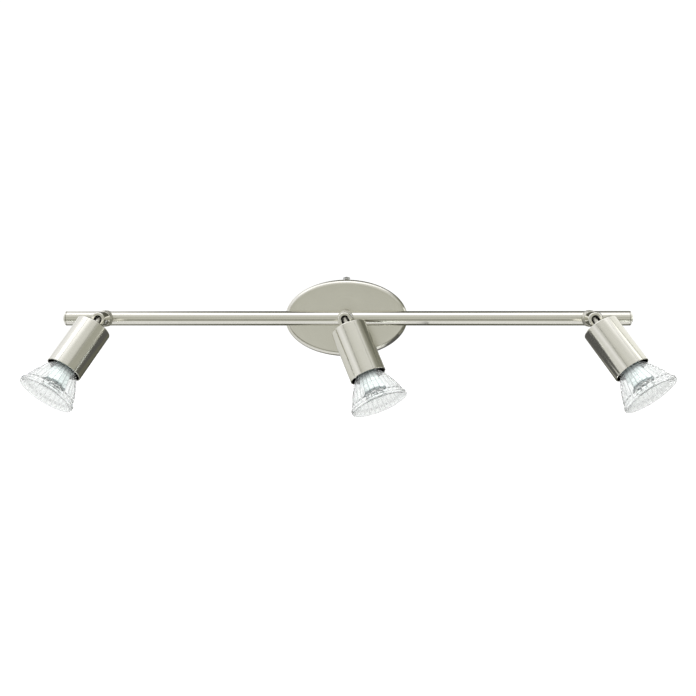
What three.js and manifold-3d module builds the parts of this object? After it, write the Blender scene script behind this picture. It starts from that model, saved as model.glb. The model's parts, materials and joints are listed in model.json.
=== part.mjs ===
// Wall-mounted bar light with three adjustable spots.
// Millimetres. X runs along the bar, -Y points away from the wall, +Z is up.
// The origin is the centre of the mounting bracket's back face, on the wall.
import * as THREE from "three";
import { mergeVertices } from "three/addons/utils/BufferGeometryUtils.js";
import Module from "manifold-3d";

const wasm = await Module();
wasm.setup();

// ---- driving dimensions ---------------------------------------------------
const GAP = 0.3; // clearance between pieces that touch
const WELD = 1e-4; // distance under which two vertices are one

const BAR_RADIUS = 6.5;
const BAR_WALL = 1.0;
const BAR_LENGTH = 507; // tube alone, without its end caps
const BAR_OUT = 30; // wall to the bar's axis
const LAMP_PITCH = 217.7; // distance between neighbouring spots

const CANOPY_HALF_WIDTH = 56;
const CANOPY_HALF_HEIGHT = 35;
const CANOPY_DEPTH = 22;
const CANOPY_WALL = 1.0;
const CANOPY_SHOULDER = 4.5; // radius of the edge round the front face

const BRACKET_THICK = 1.5;
const BRACKET_HALF_LENGTH = 42;
const BRACKET_HALF_HEIGHT = 11;
const TAB_HALF_WIDTH = 7;
const TAB_OUTER = 32; // bracket centre to the outer face of a bent tab
const TAB_REACH = 14; // how far a tab stands off the wall
const SIDE_SCREW_OUT = 8; // wall to the axis of a canopy screw
const SIDE_SCREW_RADIUS = 1.65;
const SIDE_SCREW_HEAD = 3.3;
const SIDE_SCREW_HEAD_HEIGHT = 2.6;
const SIDE_SCREW_END = 26; // bracket centre to the screw's tip
const SLOT_X = 30;
const SLOT_HALF_LENGTH = 6;
const SLOT_RADIUS = 2.4;

const NIPPLE_RADIUS = 4.0;
const NIPPLE_BORE = 2.8;
const NIPPLE_BACK = 14; // wall to the nipple's rear end
const LEAD_RADIUS = 0.9;
const LEAD_PITCH = 1.5; // lead axis to the nipple's axis

const BASE_RADIUS = 7.4;
const BASE_TOP_RADIUS = 6.3;
const BASE_TOP = 11.0; // bar axis to the front of the swivel base
const STUB_RADIUS = 3.0;
const STUB_BORE = 2.0;
const KNUCKLE_RADIUS = 6.2;
const PIVOT_OUT = 23.4; // bar axis to the tilt axis
const KNUCKLE_FRONT = 5.2; // tilt axis to the front of the knuckle
const FORK_HALF_WIDTH = 3.4;
const FORK_DEPTH = 3.7; // tilt axis to the floor of the fork
const PIN_RADIUS = 1.5;

// Distances along a spot are measured from its tilt axis.
const TONGUE_RADIUS = 3.0;
const TAIL_RADIUS = 2.5;
const TAIL_END = 15;
const CUP_BACK = 8.8;
const CUP_FRONT = 56.8;
const CUP_RADIUS = 15.9;
const CUP_WALL = 1.0;
const STRAP_THICK = 0.8;
const STRAP_HALF_HEIGHT = 9.4;
const STRAP_WIDTH = 8;
const STRAP_REACH = 31;
const NUT_THICK = 3;
const HOLDER_BACK = 16.5;
const HOLDER_WIDTH = 23;
const HOLDER_HEIGHT = 16;

const LAMP_BACK = 34.5; // back plane of the lamp's base
const LAMP_PIN_X = 5; // contact pin to the lamp's axis
const LAMP_PIN_NECK = 1.5;
const LAMP_PIN_HEAD = 2.4;
const LAMP_PIN_END = 27.5;
const LAMP_PIN_SHOULDER = 30.5;
const LAMP_BASE_RADIUS = 9.6;
const LAMP_BASE_FRONT = 54;
const CAPSULE_RADIUS = 8.8;
const CAPSULE_FRONT = 71.3;
const BOARD_RADIUS = 10.2;
const BOARD_THICK = 1.2;
const BOWL_NECK_RADIUS = 10.6;
const BOWL_NECK_FRONT = 54.5; // where the bowl starts to widen
const BOWL_GROWTH = 18; // the bowl's radius squared grows by this for each millimetre
const BOWL_WALL = 1.2;
const BOWL_FRONT = 82.2;
const LENS_RADIUS = 25;
const LENS_EDGE = 1.5;
const LENS_DOME = 1.0;
const TWIST_OPEN = THREE.MathUtils.degToRad(25); // from locked to lined up with the entry holes

// Each spot: where it stands on the bar, its swivel from straight down, and its tilt from straight out.
const SPOTS = [
  { name: "left", x: -LAMP_PITCH, pan: 28.6, tilt: 59.1, side: -1 },
  { name: "middle", x: 0, pan: -23.1, tilt: 68.3, side: 0 },
  { name: "right", x: LAMP_PITCH, pan: -32.2, tilt: 62.6, side: 1 },
];

// ---- materials ------------------------------------------------------------
function material(color, roughness, metalness) {
  return new THREE.MeshStandardMaterial({ color, roughness, metalness });
}

const NICKEL = material(0xbab8a8, 0.32, 1);
const STEEL = material(0x9a9c9e, 0.4, 1);
const ZINC = material(0xc4c6c4, 0.35, 1);
const BRASS = material(0xc8a45a, 0.35, 1);
const CERAMIC = material(0xeeeae0, 0.55, 0);
const PLASTIC = material(0xf2f2ee, 0.4, 0);
const TERMINAL = material(0xe6e2d6, 0.5, 0);
const RUBBER = material(0xd8d8d4, 0.6, 0);
const CAPSULE_WHITE = material(0xdcefea, 0.35, 0);
const BOARD_GREEN = material(0x5f7a72, 0.5, 0);
const GLASS = new THREE.MeshStandardMaterial({
  color: 0xf4f8f8,
  roughness: 0.05,
  metalness: 0,
  transparent: true,
  opacity: 0.35,
});

// ---- shaping --------------------------------------------------------------
// A closed geometry as a solid that can be joined and cut.
function solidOf(geometry) {
  const bare = geometry.index ? geometry.toNonIndexed() : geometry.clone();
  bare.deleteAttribute("normal");
  bare.deleteAttribute("uv");
  const merged = mergeVertices(bare, WELD);
  const vertProperties = merged.attributes.position.array;
  const triVerts = new Uint32Array(merged.index.array);
  return new wasm.Manifold(new wasm.Mesh({ numProp: 3, vertProperties, triVerts }));
}

function geometryOf(solid) {
  const mesh = solid.getMesh();
  const geometry = new THREE.BufferGeometry();
  geometry.setAttribute("position", new THREE.BufferAttribute(mesh.vertProperties, 3));
  geometry.setIndex(new THREE.BufferAttribute(mesh.triVerts, 1));
  geometry.computeVertexNormals();
  return geometry;
}

function cut(geometry, ...tools) {
  return geometryOf(tools.reduce((left, tool) => left.subtract(solidOf(tool)), solidOf(geometry)));
}

function join(geometry, ...others) {
  return geometryOf(others.reduce((sum, other) => sum.add(solidOf(other)), solidOf(geometry)));
}

// A turned piece about the Y axis. The profile lists [radius, distance towards -Y].
// It starts and ends on the axis, or it is a ring's closed outline.
function turned(profile, sides) {
  const points = profile.map(([radius, out]) => new THREE.Vector2(radius, -out));
  if (profile[0][0] > 0) points.push(points[0].clone());
  if (THREE.ShapeUtils.area(points) < 0) points.reverse();
  return new THREE.LatheGeometry(points, sides);
}

function rod(radius, from, to, sides) {
  const profile = [
    [0, from],
    [radius, from],
    [radius, to],
    [0, to],
  ];
  return turned(profile, sides);
}

function ring(inner, outer, from, to, sides) {
  const profile = [
    [inner, from],
    [outer, from],
    [outer, to],
    [inner, to],
  ];
  return turned(profile, sides);
}

// An outline in X and Z, thickened towards -Y from one distance to another.
function plate(shape, from, to, sides = 6) {
  const flat = { depth: to - from, bevelEnabled: false, curveSegments: sides };
  return new THREE.ExtrudeGeometry(shape, flat).rotateX(Math.PI / 2).translate(0, -from, 0);
}

// A box that reaches from one corner to the other, as [x, distance towards -Y, z].
function block(low, high) {
  const size = high.map((value, i) => value - low[i]);
  const middle = high.map((value, i) => (value + low[i]) / 2);
  return new THREE.BoxGeometry(...size).translate(middle[0], -middle[1], middle[2]);
}

function alongX(geometry) {
  return geometry.rotateZ(Math.PI / 2);
}

function alongZ(geometry) {
  return geometry.rotateX(-Math.PI / 2);
}

function roundedBox(width, height, radius) {
  const x = width / 2 - radius;
  const z = height / 2 - radius;
  const shape = new THREE.Shape();
  shape.absarc(x, z, radius, 0, Math.PI / 2);
  shape.absarc(-x, z, radius, Math.PI / 2, Math.PI);
  shape.absarc(-x, -z, radius, Math.PI, 1.5 * Math.PI);
  shape.absarc(x, -z, radius, 1.5 * Math.PI, 2 * Math.PI);
  return shape;
}

// A slot bent round the origin, with round ends, from one angle to another.
function arcSlot(radius, halfWidth, from, to) {
  const start = [radius * Math.cos(from), radius * Math.sin(from)];
  const end = [radius * Math.cos(to), radius * Math.sin(to)];
  const shape = new THREE.Shape();
  shape.absarc(0, 0, radius + halfWidth, from, to, false);
  shape.absarc(...end, halfWidth, to, to + Math.PI, false);
  shape.absarc(0, 0, radius - halfWidth, to, from, true);
  shape.absarc(...start, halfWidth, from + Math.PI, from + 2 * Math.PI, false);
  return shape;
}

function circle(x, z, radius) {
  return new THREE.Shape().absarc(x, z, radius, 0, 2 * Math.PI);
}

// ---- the wall side --------------------------------------------------------
function bracketOutline() {
  const shape = new THREE.Shape();
  const corners = [
    [BRACKET_HALF_LENGTH, BRACKET_HALF_HEIGHT],
    [TAB_HALF_WIDTH, BRACKET_HALF_HEIGHT],
    [TAB_HALF_WIDTH, TAB_OUTER],
    [-TAB_HALF_WIDTH, TAB_OUTER],
    [-TAB_HALF_WIDTH, BRACKET_HALF_HEIGHT],
    [-BRACKET_HALF_LENGTH, BRACKET_HALF_HEIGHT],
  ];
  corners.forEach(([x, z], i) => (i ? shape.lineTo(x, z) : shape.moveTo(x, z)));
  corners.forEach(([x, z]) => shape.lineTo(-x, -z));
  shape.closePath();
  return shape;
}

function wallSlot(x) {
  const shape = new THREE.Path();
  shape.absarc(x + SLOT_HALF_LENGTH, 0, SLOT_RADIUS, -Math.PI / 2, Math.PI / 2);
  shape.absarc(x - SLOT_HALF_LENGTH, 0, SLOT_RADIUS, Math.PI / 2, 1.5 * Math.PI);
  return shape;
}

const CABLE_HOLE_X = 16;
const CABLE_HOLE_RADIUS = 5;
const EARTH_SCREW_X = -16;
const EARTH_SCREW_RADIUS = 1.5;

function mountingBracket() {
  const outline = bracketOutline();
  outline.holes.push(wallSlot(SLOT_X), wallSlot(-SLOT_X));
  outline.holes.push(circle(CABLE_HOLE_X, 0, CABLE_HOLE_RADIUS));
  outline.holes.push(circle(EARTH_SCREW_X, 0, EARTH_SCREW_RADIUS + GAP));
  const strip = plate(outline, 0, BRACKET_THICK);
  const tabInner = TAB_OUTER - BRACKET_THICK;
  const upper = block([-TAB_HALF_WIDTH, 0, tabInner], [TAB_HALF_WIDTH, TAB_REACH, TAB_OUTER]);
  const lower = block([-TAB_HALF_WIDTH, 0, -TAB_OUTER], [TAB_HALF_WIDTH, TAB_REACH, -tabInner]);
  const hole = alongZ(rod(SIDE_SCREW_RADIUS + GAP, -TAB_OUTER - 1, TAB_OUTER + 1, 12));
  hole.translate(0, -SIDE_SCREW_OUT, 0);
  return cut(join(strip, upper, lower), hole);
}

// An oval block with a rounded front edge, its back on the wall.
function oval(halfWidth, halfHeight, depth, shoulder) {
  const shape = new THREE.Shape().absellipse(0, 0, halfWidth, halfHeight, 0, 2 * Math.PI);
  const rounded = {
    depth: depth,
    bevelEnabled: true,
    bevelThickness: shoulder,
    bevelSize: shoulder,
    bevelOffset: -shoulder,
    bevelSegments: 3,
    curveSegments: 16,
  };
  return new THREE.ExtrudeGeometry(shape, rounded)
    .rotateX(Math.PI / 2)
    .translate(0, shoulder, 0);
}

function canopy() {
  const outer = oval(CANOPY_HALF_WIDTH, CANOPY_HALF_HEIGHT, CANOPY_DEPTH, CANOPY_SHOULDER);
  const inner = oval(
    CANOPY_HALF_WIDTH - CANOPY_WALL,
    CANOPY_HALF_HEIGHT - CANOPY_WALL,
    CANOPY_DEPTH - CANOPY_WALL,
    CANOPY_SHOULDER - CANOPY_WALL,
  );
  const reach = CANOPY_HALF_WIDTH + 1;
  const behindWall = block([-reach, -CANOPY_SHOULDER - 10, -reach], [reach, 0, reach]);
  const centreHole = rod(NIPPLE_RADIUS + GAP, CANOPY_DEPTH - 5, CANOPY_DEPTH + 5, 16);
  const across = CANOPY_HALF_HEIGHT + 1;
  const screwHoles = alongZ(rod(SIDE_SCREW_RADIUS + GAP, -across, across, 12));
  screwHoles.translate(0, -SIDE_SCREW_OUT, 0);
  return cut(outer, inner, behindWall, centreHole, screwHoles);
}

// A slotted screw: head and shank lie along -Y, the head's far face at the distance "top".
function slottedScrew(head, headHeight, shank, length, top, slot) {
  const profile = [
    [0, top - headHeight - length],
    [shank, top - headHeight - length],
    [shank, top - headHeight],
    [head, top - headHeight],
    [head, top - headHeight * 0.35],
    [head * 0.8, top],
    [0, top],
  ];
  const groove = block([-head - 1, top - headHeight * 0.45, -slot / 2], [head + 1, top + 1, slot / 2]);
  return cut(turned(profile, 10), groove);
}

function canopyScrew(end) {
  const length = CANOPY_HALF_HEIGHT + GAP - SIDE_SCREW_END;
  const top = CANOPY_HALF_HEIGHT + GAP + SIDE_SCREW_HEAD_HEIGHT;
  const screw = slottedScrew(SIDE_SCREW_HEAD, SIDE_SCREW_HEAD_HEIGHT, SIDE_SCREW_RADIUS, length, top, 0.9);
  screw.rotateX(end > 0 ? -Math.PI / 2 : Math.PI / 2);
  return screw.translate(0, -SIDE_SCREW_OUT, 0);
}

function earthScrew() {
  const height = 2;
  const top = BRACKET_THICK + GAP + height;
  const screw = slottedScrew(3, height, EARTH_SCREW_RADIUS, BRACKET_THICK, top, 0.8);
  return screw.translate(EARTH_SCREW_X, 0, 0);
}

const TERMINAL_TOP = -13;
const TERMINAL_BOTTOM = -24;
const TERMINAL_HALF_WIDTH = 11;
const TERMINAL_DEPTH = 11;
const TERMINAL_PITCH = 6.6;
const TERMINAL_WIRE_OUT = 6.5; // wall to the axis of the wire entries
const TERMINAL_ENTRY = 1.5;

function terminalBlock() {
  const back = BRACKET_THICK + GAP;
  const width = TERMINAL_HALF_WIDTH;
  const body = block([-width, back, TERMINAL_BOTTOM], [width, back + TERMINAL_DEPTH, TERMINAL_TOP]);
  const tools = [];
  for (const pole of [-1, 0, 1]) {
    const x = pole * TERMINAL_PITCH;
    const entry = alongZ(rod(TERMINAL_ENTRY, TERMINAL_BOTTOM - 1, TERMINAL_TOP + 1, 10));
    tools.push(entry.translate(x, -TERMINAL_WIRE_OUT, 0));
    const wellFloor = back + TERMINAL_DEPTH - 2;
    const well = rod(1.9, wellFloor, wellFloor + 3, 10);
    tools.push(well.translate(x, 0, (TERMINAL_TOP + TERMINAL_BOTTOM) / 2));
  }
  for (const side of [-1, 1]) {
    const x = (side * TERMINAL_PITCH) / 2;
    const low = [x - 0.5, back + 4, TERMINAL_BOTTOM - 1];
    const high = [x + 0.5, back + TERMINAL_DEPTH + 1, TERMINAL_TOP + 1];
    tools.push(block(low, high));
  }
  return cut(body, ...tools);
}

// ---- the bar --------------------------------------------------------------
function barNipple() {
  const front = BAR_OUT - BAR_RADIUS + BAR_WALL + 1;
  return ring(NIPPLE_BORE, NIPPLE_RADIUS, NIPPLE_BACK, front, 16);
}

function hexNut(bore, corner, from, to) {
  return cut(rod(corner, from, to, 6), rod(bore, from - 1, to + 1, 10));
}

function nippleNut() {
  const front = CANOPY_DEPTH - CANOPY_WALL - GAP;
  return hexNut(NIPPLE_RADIUS + GAP, 7, front - 3.5, front);
}

// The bar's outside, or a slightly larger copy that cuts a saddle to fit it.
function barCylinder(radius, length) {
  return alongX(rod(radius, -length / 2, length / 2, 24)).translate(0, -BAR_OUT, 0);
}

function barCollar() {
  const body = ring(NIPPLE_RADIUS + GAP, 6, CANOPY_DEPTH + GAP, BAR_OUT - 3.5, 16);
  return cut(body, barCylinder(BAR_RADIUS + GAP, 40));
}

function bar() {
  const inside = BAR_RADIUS - BAR_WALL;
  const tube = alongX(ring(inside, BAR_RADIUS, -BAR_LENGTH / 2, BAR_LENGTH / 2, 24));
  tube.translate(0, -BAR_OUT, 0);
  const rearHole = rod(NIPPLE_RADIUS + GAP, BAR_OUT - BAR_RADIUS - 1, BAR_OUT - 2, 12);
  const frontHoles = SPOTS.map((spot) =>
    rod(STUB_RADIUS + GAP, BAR_OUT + 2, BAR_OUT + BAR_RADIUS + 1, 12).translate(spot.x, 0, 0),
  );
  return cut(tube, rearHole, ...frontHoles);
}

// A plug with a rounded flange and a shallow button, for the end on the given side.
function endCap(side) {
  const end = BAR_LENGTH / 2;
  const plug = BAR_RADIUS - BAR_WALL - GAP;
  const profile = [
    [0, end - 6],
    [plug, end - 6],
    [plug, end + GAP],
    [BAR_RADIUS, end + GAP],
    [BAR_RADIUS, end + 1.0],
    [BAR_RADIUS - 0.7, end + 1.7],
    [3.6, end + 1.9],
    [3.0, end + 3.0],
    [0, end + 3.4],
  ];
  const cap = turned(profile, 16);
  cap.rotateZ(side > 0 ? Math.PI / 2 : -Math.PI / 2);
  return cap.translate(0, -BAR_OUT, 0);
}

// A saddle cone that seats a swivel on the bar, with the bar's axis at distance zero.
function swivelBase(spot) {
  const profile = [
    [STUB_RADIUS + GAP, 4],
    [BASE_RADIUS, 4],
    [BASE_RADIUS, BAR_RADIUS + 0.8],
    [BASE_TOP_RADIUS, BASE_TOP - 0.4],
    [BASE_TOP_RADIUS - 0.4, BASE_TOP],
    [STUB_RADIUS + GAP, BASE_TOP],
  ];
  const cone = turned(profile, 18).translate(spot.x, -BAR_OUT, 0);
  return cut(cone, barCylinder(BAR_RADIUS + GAP, BAR_LENGTH));
}

// A path that spends the same number of steps on each span, so tight bends stay round.
class Route extends THREE.CatmullRomCurve3 {
  getUtoTmapping(u) {
    return u;
  }
}

// The route of a spot's lead: up from its terminal, through the nipple, and along the bar.
function leadPoints(spot) {
  const angle = Math.PI / 2 + (spot.side * 2 * Math.PI) / 3;
  const offX = -LEAD_PITCH * Math.cos(angle);
  const offZ = LEAD_PITCH * Math.sin(angle);
  const poleX = spot.side * TERMINAL_PITCH;
  const start = [
    [poleX, TERMINAL_WIRE_OUT, TERMINAL_TOP - 3],
    [poleX, TERMINAL_WIRE_OUT, TERMINAL_TOP],
    [poleX, TERMINAL_WIRE_OUT + 0.5, TERMINAL_TOP + 4],
    [(poleX + offX) / 2, TERMINAL_WIRE_OUT + 2.5, TERMINAL_TOP + 9],
    [offX, NIPPLE_BACK - 1, offZ],
    [offX, NIPPLE_BACK + 3, offZ],
    [offX, NIPPLE_BACK + 10, offZ],
  ];
  if (spot.side === 0) {
    return [...start, [0, BAR_OUT - 2, 1], [0, BAR_OUT + 0.5, 0], [0, BAR_OUT + 3.5, 0]];
  }
  const reach = Math.abs(spot.x);
  const rear = BAR_OUT - 2.6;
  return [
    ...start,
    [spot.side * (LEAD_PITCH + 1.0), rear - 0.6, offZ],
    [spot.side * 8, rear, offZ / 2],
    [spot.side * 20, rear, 0],
    [spot.side * (reach - 12), rear, 0],
    [spot.side * (reach - 3.5), rear + 0.2, 0],
    [spot.x, BAR_OUT + 0.4, 0],
    [spot.x, BAR_OUT + 3.5, 0],
  ];
}

function lead(spot) {
  const points = leadPoints(spot).map(([x, out, z]) => new THREE.Vector3(x, -out, z));
  const section = new THREE.Shape().absarc(0, 0, LEAD_RADIUS, 0, 2 * Math.PI);
  const route = {
    steps: 2 * (points.length - 1),
    extrudePath: new Route(points, false, "centripetal"),
    curveSegments: 4,
  };
  return new THREE.ExtrudeGeometry(section, route);
}

// ---- the swivel: the bar's axis at distance zero ----------------------------
function knuckle() {
  const front = PIVOT_OUT + KNUCKLE_FRONT;
  const back = BASE_TOP + GAP;
  const profile = [
    [STUB_BORE, 0.4],
    [STUB_RADIUS, 0.4],
    [STUB_RADIUS, back],
    [KNUCKLE_RADIUS - 0.8, back],
    [KNUCKLE_RADIUS, back + 0.8],
    [KNUCKLE_RADIUS, front - 1.6],
    [KNUCKLE_RADIUS - 0.5, front - 0.6],
    [KNUCKLE_RADIUS - 1.5, front],
    [STUB_BORE, front],
  ];
  const fork = new THREE.Shape();
  fork.absarc(0, 0, FORK_HALF_WIDTH, 0, Math.PI);
  fork.lineTo(-FORK_HALF_WIDTH, -KNUCKLE_RADIUS - 2);
  fork.lineTo(FORK_HALF_WIDTH, -KNUCKLE_RADIUS - 2);
  const slot = plate(fork, PIVOT_OUT - FORK_DEPTH, front + 1, 5);
  const crossHole = alongX(rod(PIN_RADIUS + GAP, -KNUCKLE_RADIUS - 1, KNUCKLE_RADIUS + 1, 10));
  crossHole.translate(0, -PIVOT_OUT, 0);
  return cut(turned(profile, 16), slot, crossHole);
}

function swivelNut() {
  return hexNut(STUB_RADIUS + GAP, 4.7, 0.5, 2.1);
}

function pivotScrew() {
  const headHeight = 1.1;
  const top = KNUCKLE_RADIUS + 0.2 + headHeight;
  const length = 2 * KNUCKLE_RADIUS;
  const screw = slottedScrew(2.6, headHeight, PIN_RADIUS, length, top, 0.7);
  return alongX(screw);
}

// ---- the spot: the tilt axis at distance zero -------------------------------
function tongue() {
  const profile = [
    [0, -TONGUE_RADIUS],
    [TONGUE_RADIUS * 0.5, -TONGUE_RADIUS * 0.866],
    [TONGUE_RADIUS * 0.866, -TONGUE_RADIUS * 0.5],
    [TONGUE_RADIUS, 0],
    [TONGUE_RADIUS, CUP_BACK - GAP],
    [TAIL_RADIUS, CUP_BACK - GAP],
    [TAIL_RADIUS, TAIL_END],
    [0, TAIL_END],
  ];
  const pinHole = alongX(rod(PIN_RADIUS + GAP, -TONGUE_RADIUS - 1, TONGUE_RADIUS + 1, 10));
  return cut(turned(profile, 12), pinHole);
}

function cup() {
  const inside = CUP_RADIUS - CUP_WALL;
  const profile = [
    [TAIL_RADIUS + GAP, CUP_BACK],
    [CUP_RADIUS - 1.2, CUP_BACK],
    [CUP_RADIUS - 0.35, CUP_BACK + 0.35],
    [CUP_RADIUS, CUP_BACK + 1.2],
    [CUP_RADIUS, CUP_FRONT - 0.3],
    [CUP_RADIUS - 0.3, CUP_FRONT],
    [inside, CUP_FRONT],
    [inside, CUP_BACK + CUP_WALL],
    [TAIL_RADIUS + GAP, CUP_BACK + CUP_WALL],
  ];
  return turned(profile, 24);
}

// A U of sheet metal whose base lies on the cup's floor and whose legs hold the lampholder.
function holderStrap() {
  const floor = CUP_BACK + CUP_WALL + GAP;
  const height = STRAP_HALF_HEIGHT;
  const thick = STRAP_THICK;
  const half = STRAP_WIDTH / 2;
  const base = block([-half, floor, -height], [half, floor + thick, height]);
  const upper = block([-half, floor, height - thick], [half, STRAP_REACH, height]);
  const lower = block([-half, floor, -height], [half, STRAP_REACH, thick - height]);
  const hole = rod(TAIL_RADIUS + GAP, floor - 1, floor + thick + 1, 12);
  return cut(join(base, upper, lower), hole);
}

function tailNut() {
  const back = CUP_BACK + CUP_WALL + STRAP_THICK + 2 * GAP;
  return hexNut(TAIL_RADIUS + GAP, 4.6, back, back + NUT_THICK);
}

function lampholder() {
  const front = LAMP_BACK - GAP;
  const roof = LAMP_PIN_SHOULDER + 0.7; // under the front wall that the pin heads hook behind
  const floor = LAMP_PIN_END - 0.6;
  const headRoom = LAMP_PIN_HEAD + 0.4;
  const neckRoom = LAMP_PIN_NECK + GAP;
  const body = plate(roundedBox(HOLDER_WIDTH, HOLDER_HEIGHT, 3), HOLDER_BACK, front, 3);
  const tools = [];
  for (const half of [0, Math.PI]) {
    const open = half + TWIST_OPEN;
    const entryX = LAMP_PIN_X * Math.cos(open);
    const entryZ = LAMP_PIN_X * Math.sin(open);
    tools.push(plate(arcSlot(LAMP_PIN_X, headRoom, half, open), floor, roof, 2));
    tools.push(plate(arcSlot(LAMP_PIN_X, neckRoom, half, open), roof - 1, front + 1, 2));
    tools.push(plate(circle(entryX, entryZ, headRoom), roof - 1, front + 1, 4));
    tools.push(rod(1.3, HOLDER_BACK - 1, floor + 1, 8).translate(LAMP_PIN_X * Math.cos(half), 0, 0));
  }
  return cut(body, ...tools);
}

// ---- the lamp ---------------------------------------------------------------
function lampBase() {
  const wall = 1.2;
  const inside = LAMP_BASE_RADIUS - wall;
  const profile = [
    [0, LAMP_BACK],
    [LAMP_BASE_RADIUS - 1.2, LAMP_BACK],
    [LAMP_BASE_RADIUS - 0.8, LAMP_BACK + 4],
    [LAMP_BASE_RADIUS, LAMP_BACK + 5],
    [LAMP_BASE_RADIUS, LAMP_BASE_FRONT],
    [inside, LAMP_BASE_FRONT],
    [inside - 0.4, LAMP_BACK + wall],
    [0, LAMP_BACK + wall],
  ];
  const holes = [-1, 1].map((side) =>
    rod(LAMP_PIN_NECK + GAP, LAMP_BACK - 1, LAMP_BACK + 3, 10).translate(side * LAMP_PIN_X, 0, 0),
  );
  return cut(turned(profile, 16), ...holes);
}

// The power board, with the two contact pins soldered to its end.
function driver() {
  const board = block([-7.2, LAMP_BACK + 2, -0.8], [7.2, LAMP_BASE_FRONT - 4, 0.8]);
  const coil = block([-4, LAMP_BACK + 6, 0.5], [3, LAMP_BACK + 13, 5]);
  const pins = [-1, 1].map((side) => {
    const profile = [
      [0, LAMP_PIN_END],
      [LAMP_PIN_HEAD - 0.4, LAMP_PIN_END],
      [LAMP_PIN_HEAD, LAMP_PIN_END + 0.4],
      [LAMP_PIN_HEAD, LAMP_PIN_SHOULDER],
      [LAMP_PIN_NECK, LAMP_PIN_SHOULDER],
      [LAMP_PIN_NECK, LAMP_BACK + 4],
      [0, LAMP_BACK + 4],
    ];
    return turned(profile, 8).translate(side * LAMP_PIN_X, 0, 0);
  });
  return join(board, coil, ...pins);
}

function capsule() {
  const back = LAMP_BASE_FRONT + GAP;
  const wall = 1.3;
  const profile = [
    [0, CAPSULE_FRONT],
    [CAPSULE_RADIUS, CAPSULE_FRONT],
    [CAPSULE_RADIUS, back],
    [CAPSULE_RADIUS - wall, back],
    [CAPSULE_RADIUS - wall, CAPSULE_FRONT - wall],
    [0, CAPSULE_FRONT - wall],
  ];
  return turned(profile, 16);
}

const LED_COUNT = 8;
const LED_RING = 7.2;
const LED_SIZE = 2.6;
const LED_HEIGHT = 0.8;

function lightBoard() {
  const back = CAPSULE_FRONT + GAP;
  const front = back + BOARD_THICK;
  const chips = [];
  for (let i = 0; i < LED_COUNT; i += 1) {
    const low = [-LED_SIZE / 2, front - 0.3, LED_RING - LED_SIZE / 2];
    const high = [LED_SIZE / 2, front + LED_HEIGHT, LED_RING + LED_SIZE / 2];
    chips.push(block(low, high).rotateY((i * 2 * Math.PI) / LED_COUNT));
  }
  return join(rod(BOARD_RADIUS, back, front, 16), ...chips);
}

function bowlRadius(out) {
  return Math.sqrt(BOWL_NECK_RADIUS ** 2 + BOWL_GROWTH * Math.max(0, out - BOWL_NECK_FRONT));
}

function bowl() {
  const back = LAMP_BASE_FRONT + GAP;
  const stations = [back, 57.5, 62, 70, BOWL_FRONT - 1.4];
  const outside = stations.map((out) => [bowlRadius(out), out]);
  const inside = stations.map((out) => [bowlRadius(out) - BOWL_WALL, out]).reverse();
  const rim = [
    [LENS_RADIUS, BOWL_FRONT - 1.1],
    [LENS_RADIUS, BOWL_FRONT],
    [LENS_RADIUS - 1.8, BOWL_FRONT],
  ];
  return turned([...outside, ...rim, ...inside], 22);
}

function lens() {
  const back = BOWL_FRONT + GAP;
  const edge = back + LENS_EDGE;
  const profile = [
    [0, edge + LENS_DOME - 1.4],
    [14, edge + LENS_DOME * 0.65 - 1.3],
    [LENS_RADIUS - 2, back],
    [LENS_RADIUS, back],
    [LENS_RADIUS, edge - 0.4],
    [LENS_RADIUS - 0.4, edge],
    [14, edge + LENS_DOME * 0.7],
    [0, edge + LENS_DOME],
  ];
  return turned(profile, 24);
}

// ---- assembly ---------------------------------------------------------------
function place(group, name, geometry, look) {
  const mesh = new THREE.Mesh(geometry, look);
  mesh.name = name;
  group.add(mesh);
}

function addWallSide(group) {
  place(group, "mounting_bracket", mountingBracket(), ZINC);
  place(group, "canopy", canopy(), NICKEL);
  place(group, "canopy_screw_top", canopyScrew(1), NICKEL);
  place(group, "canopy_screw_bottom", canopyScrew(-1), NICKEL);
  place(group, "terminal_block", terminalBlock(), TERMINAL);
  place(group, "earth_screw", earthScrew(), BRASS);
}

function addBar(group) {
  place(group, "bar_nipple", barNipple(), ZINC);
  place(group, "nipple_nut", nippleNut(), ZINC);
  place(group, "bar_collar", barCollar(), NICKEL);
  place(group, "bar", bar(), NICKEL);
  place(group, "end_cap_left", endCap(-1), NICKEL);
  place(group, "end_cap_right", endCap(1), NICKEL);
  for (const spot of SPOTS) {
    place(group, "swivel_base_" + spot.name, swivelBase(spot), NICKEL);
    place(group, "lead_" + spot.name, lead(spot), RUBBER);
  }
}

function addSwivel(group, name) {
  const screw = new THREE.Group();
  screw.position.set(0, -PIVOT_OUT, 0);
  place(group, "knuckle_" + name, knuckle(), NICKEL);
  place(group, "swivel_nut_" + name, swivelNut(), ZINC);
  place(screw, "pivot_screw_" + name, pivotScrew(), STEEL);
  group.add(screw);
}

function addHead(group, name) {
  place(group, "tongue_" + name, tongue(), NICKEL);
  place(group, "tail_nut_" + name, tailNut(), ZINC);
  place(group, "cup_" + name, cup(), NICKEL);
  place(group, "holder_strap_" + name, holderStrap(), ZINC);
  place(group, "lampholder_" + name, lampholder(), CERAMIC);
}

function addLamp(group, name) {
  place(group, "lamp_base_" + name, lampBase(), PLASTIC);
  place(group, "lamp_driver_" + name, driver(), BRASS);
  place(group, "lamp_capsule_" + name, capsule(), CAPSULE_WHITE);
  place(group, "lamp_board_" + name, lightBoard(), BOARD_GREEN);
  place(group, "lamp_bowl_" + name, bowl(), GLASS);
  place(group, "lamp_lens_" + name, lens(), GLASS);
}

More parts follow.
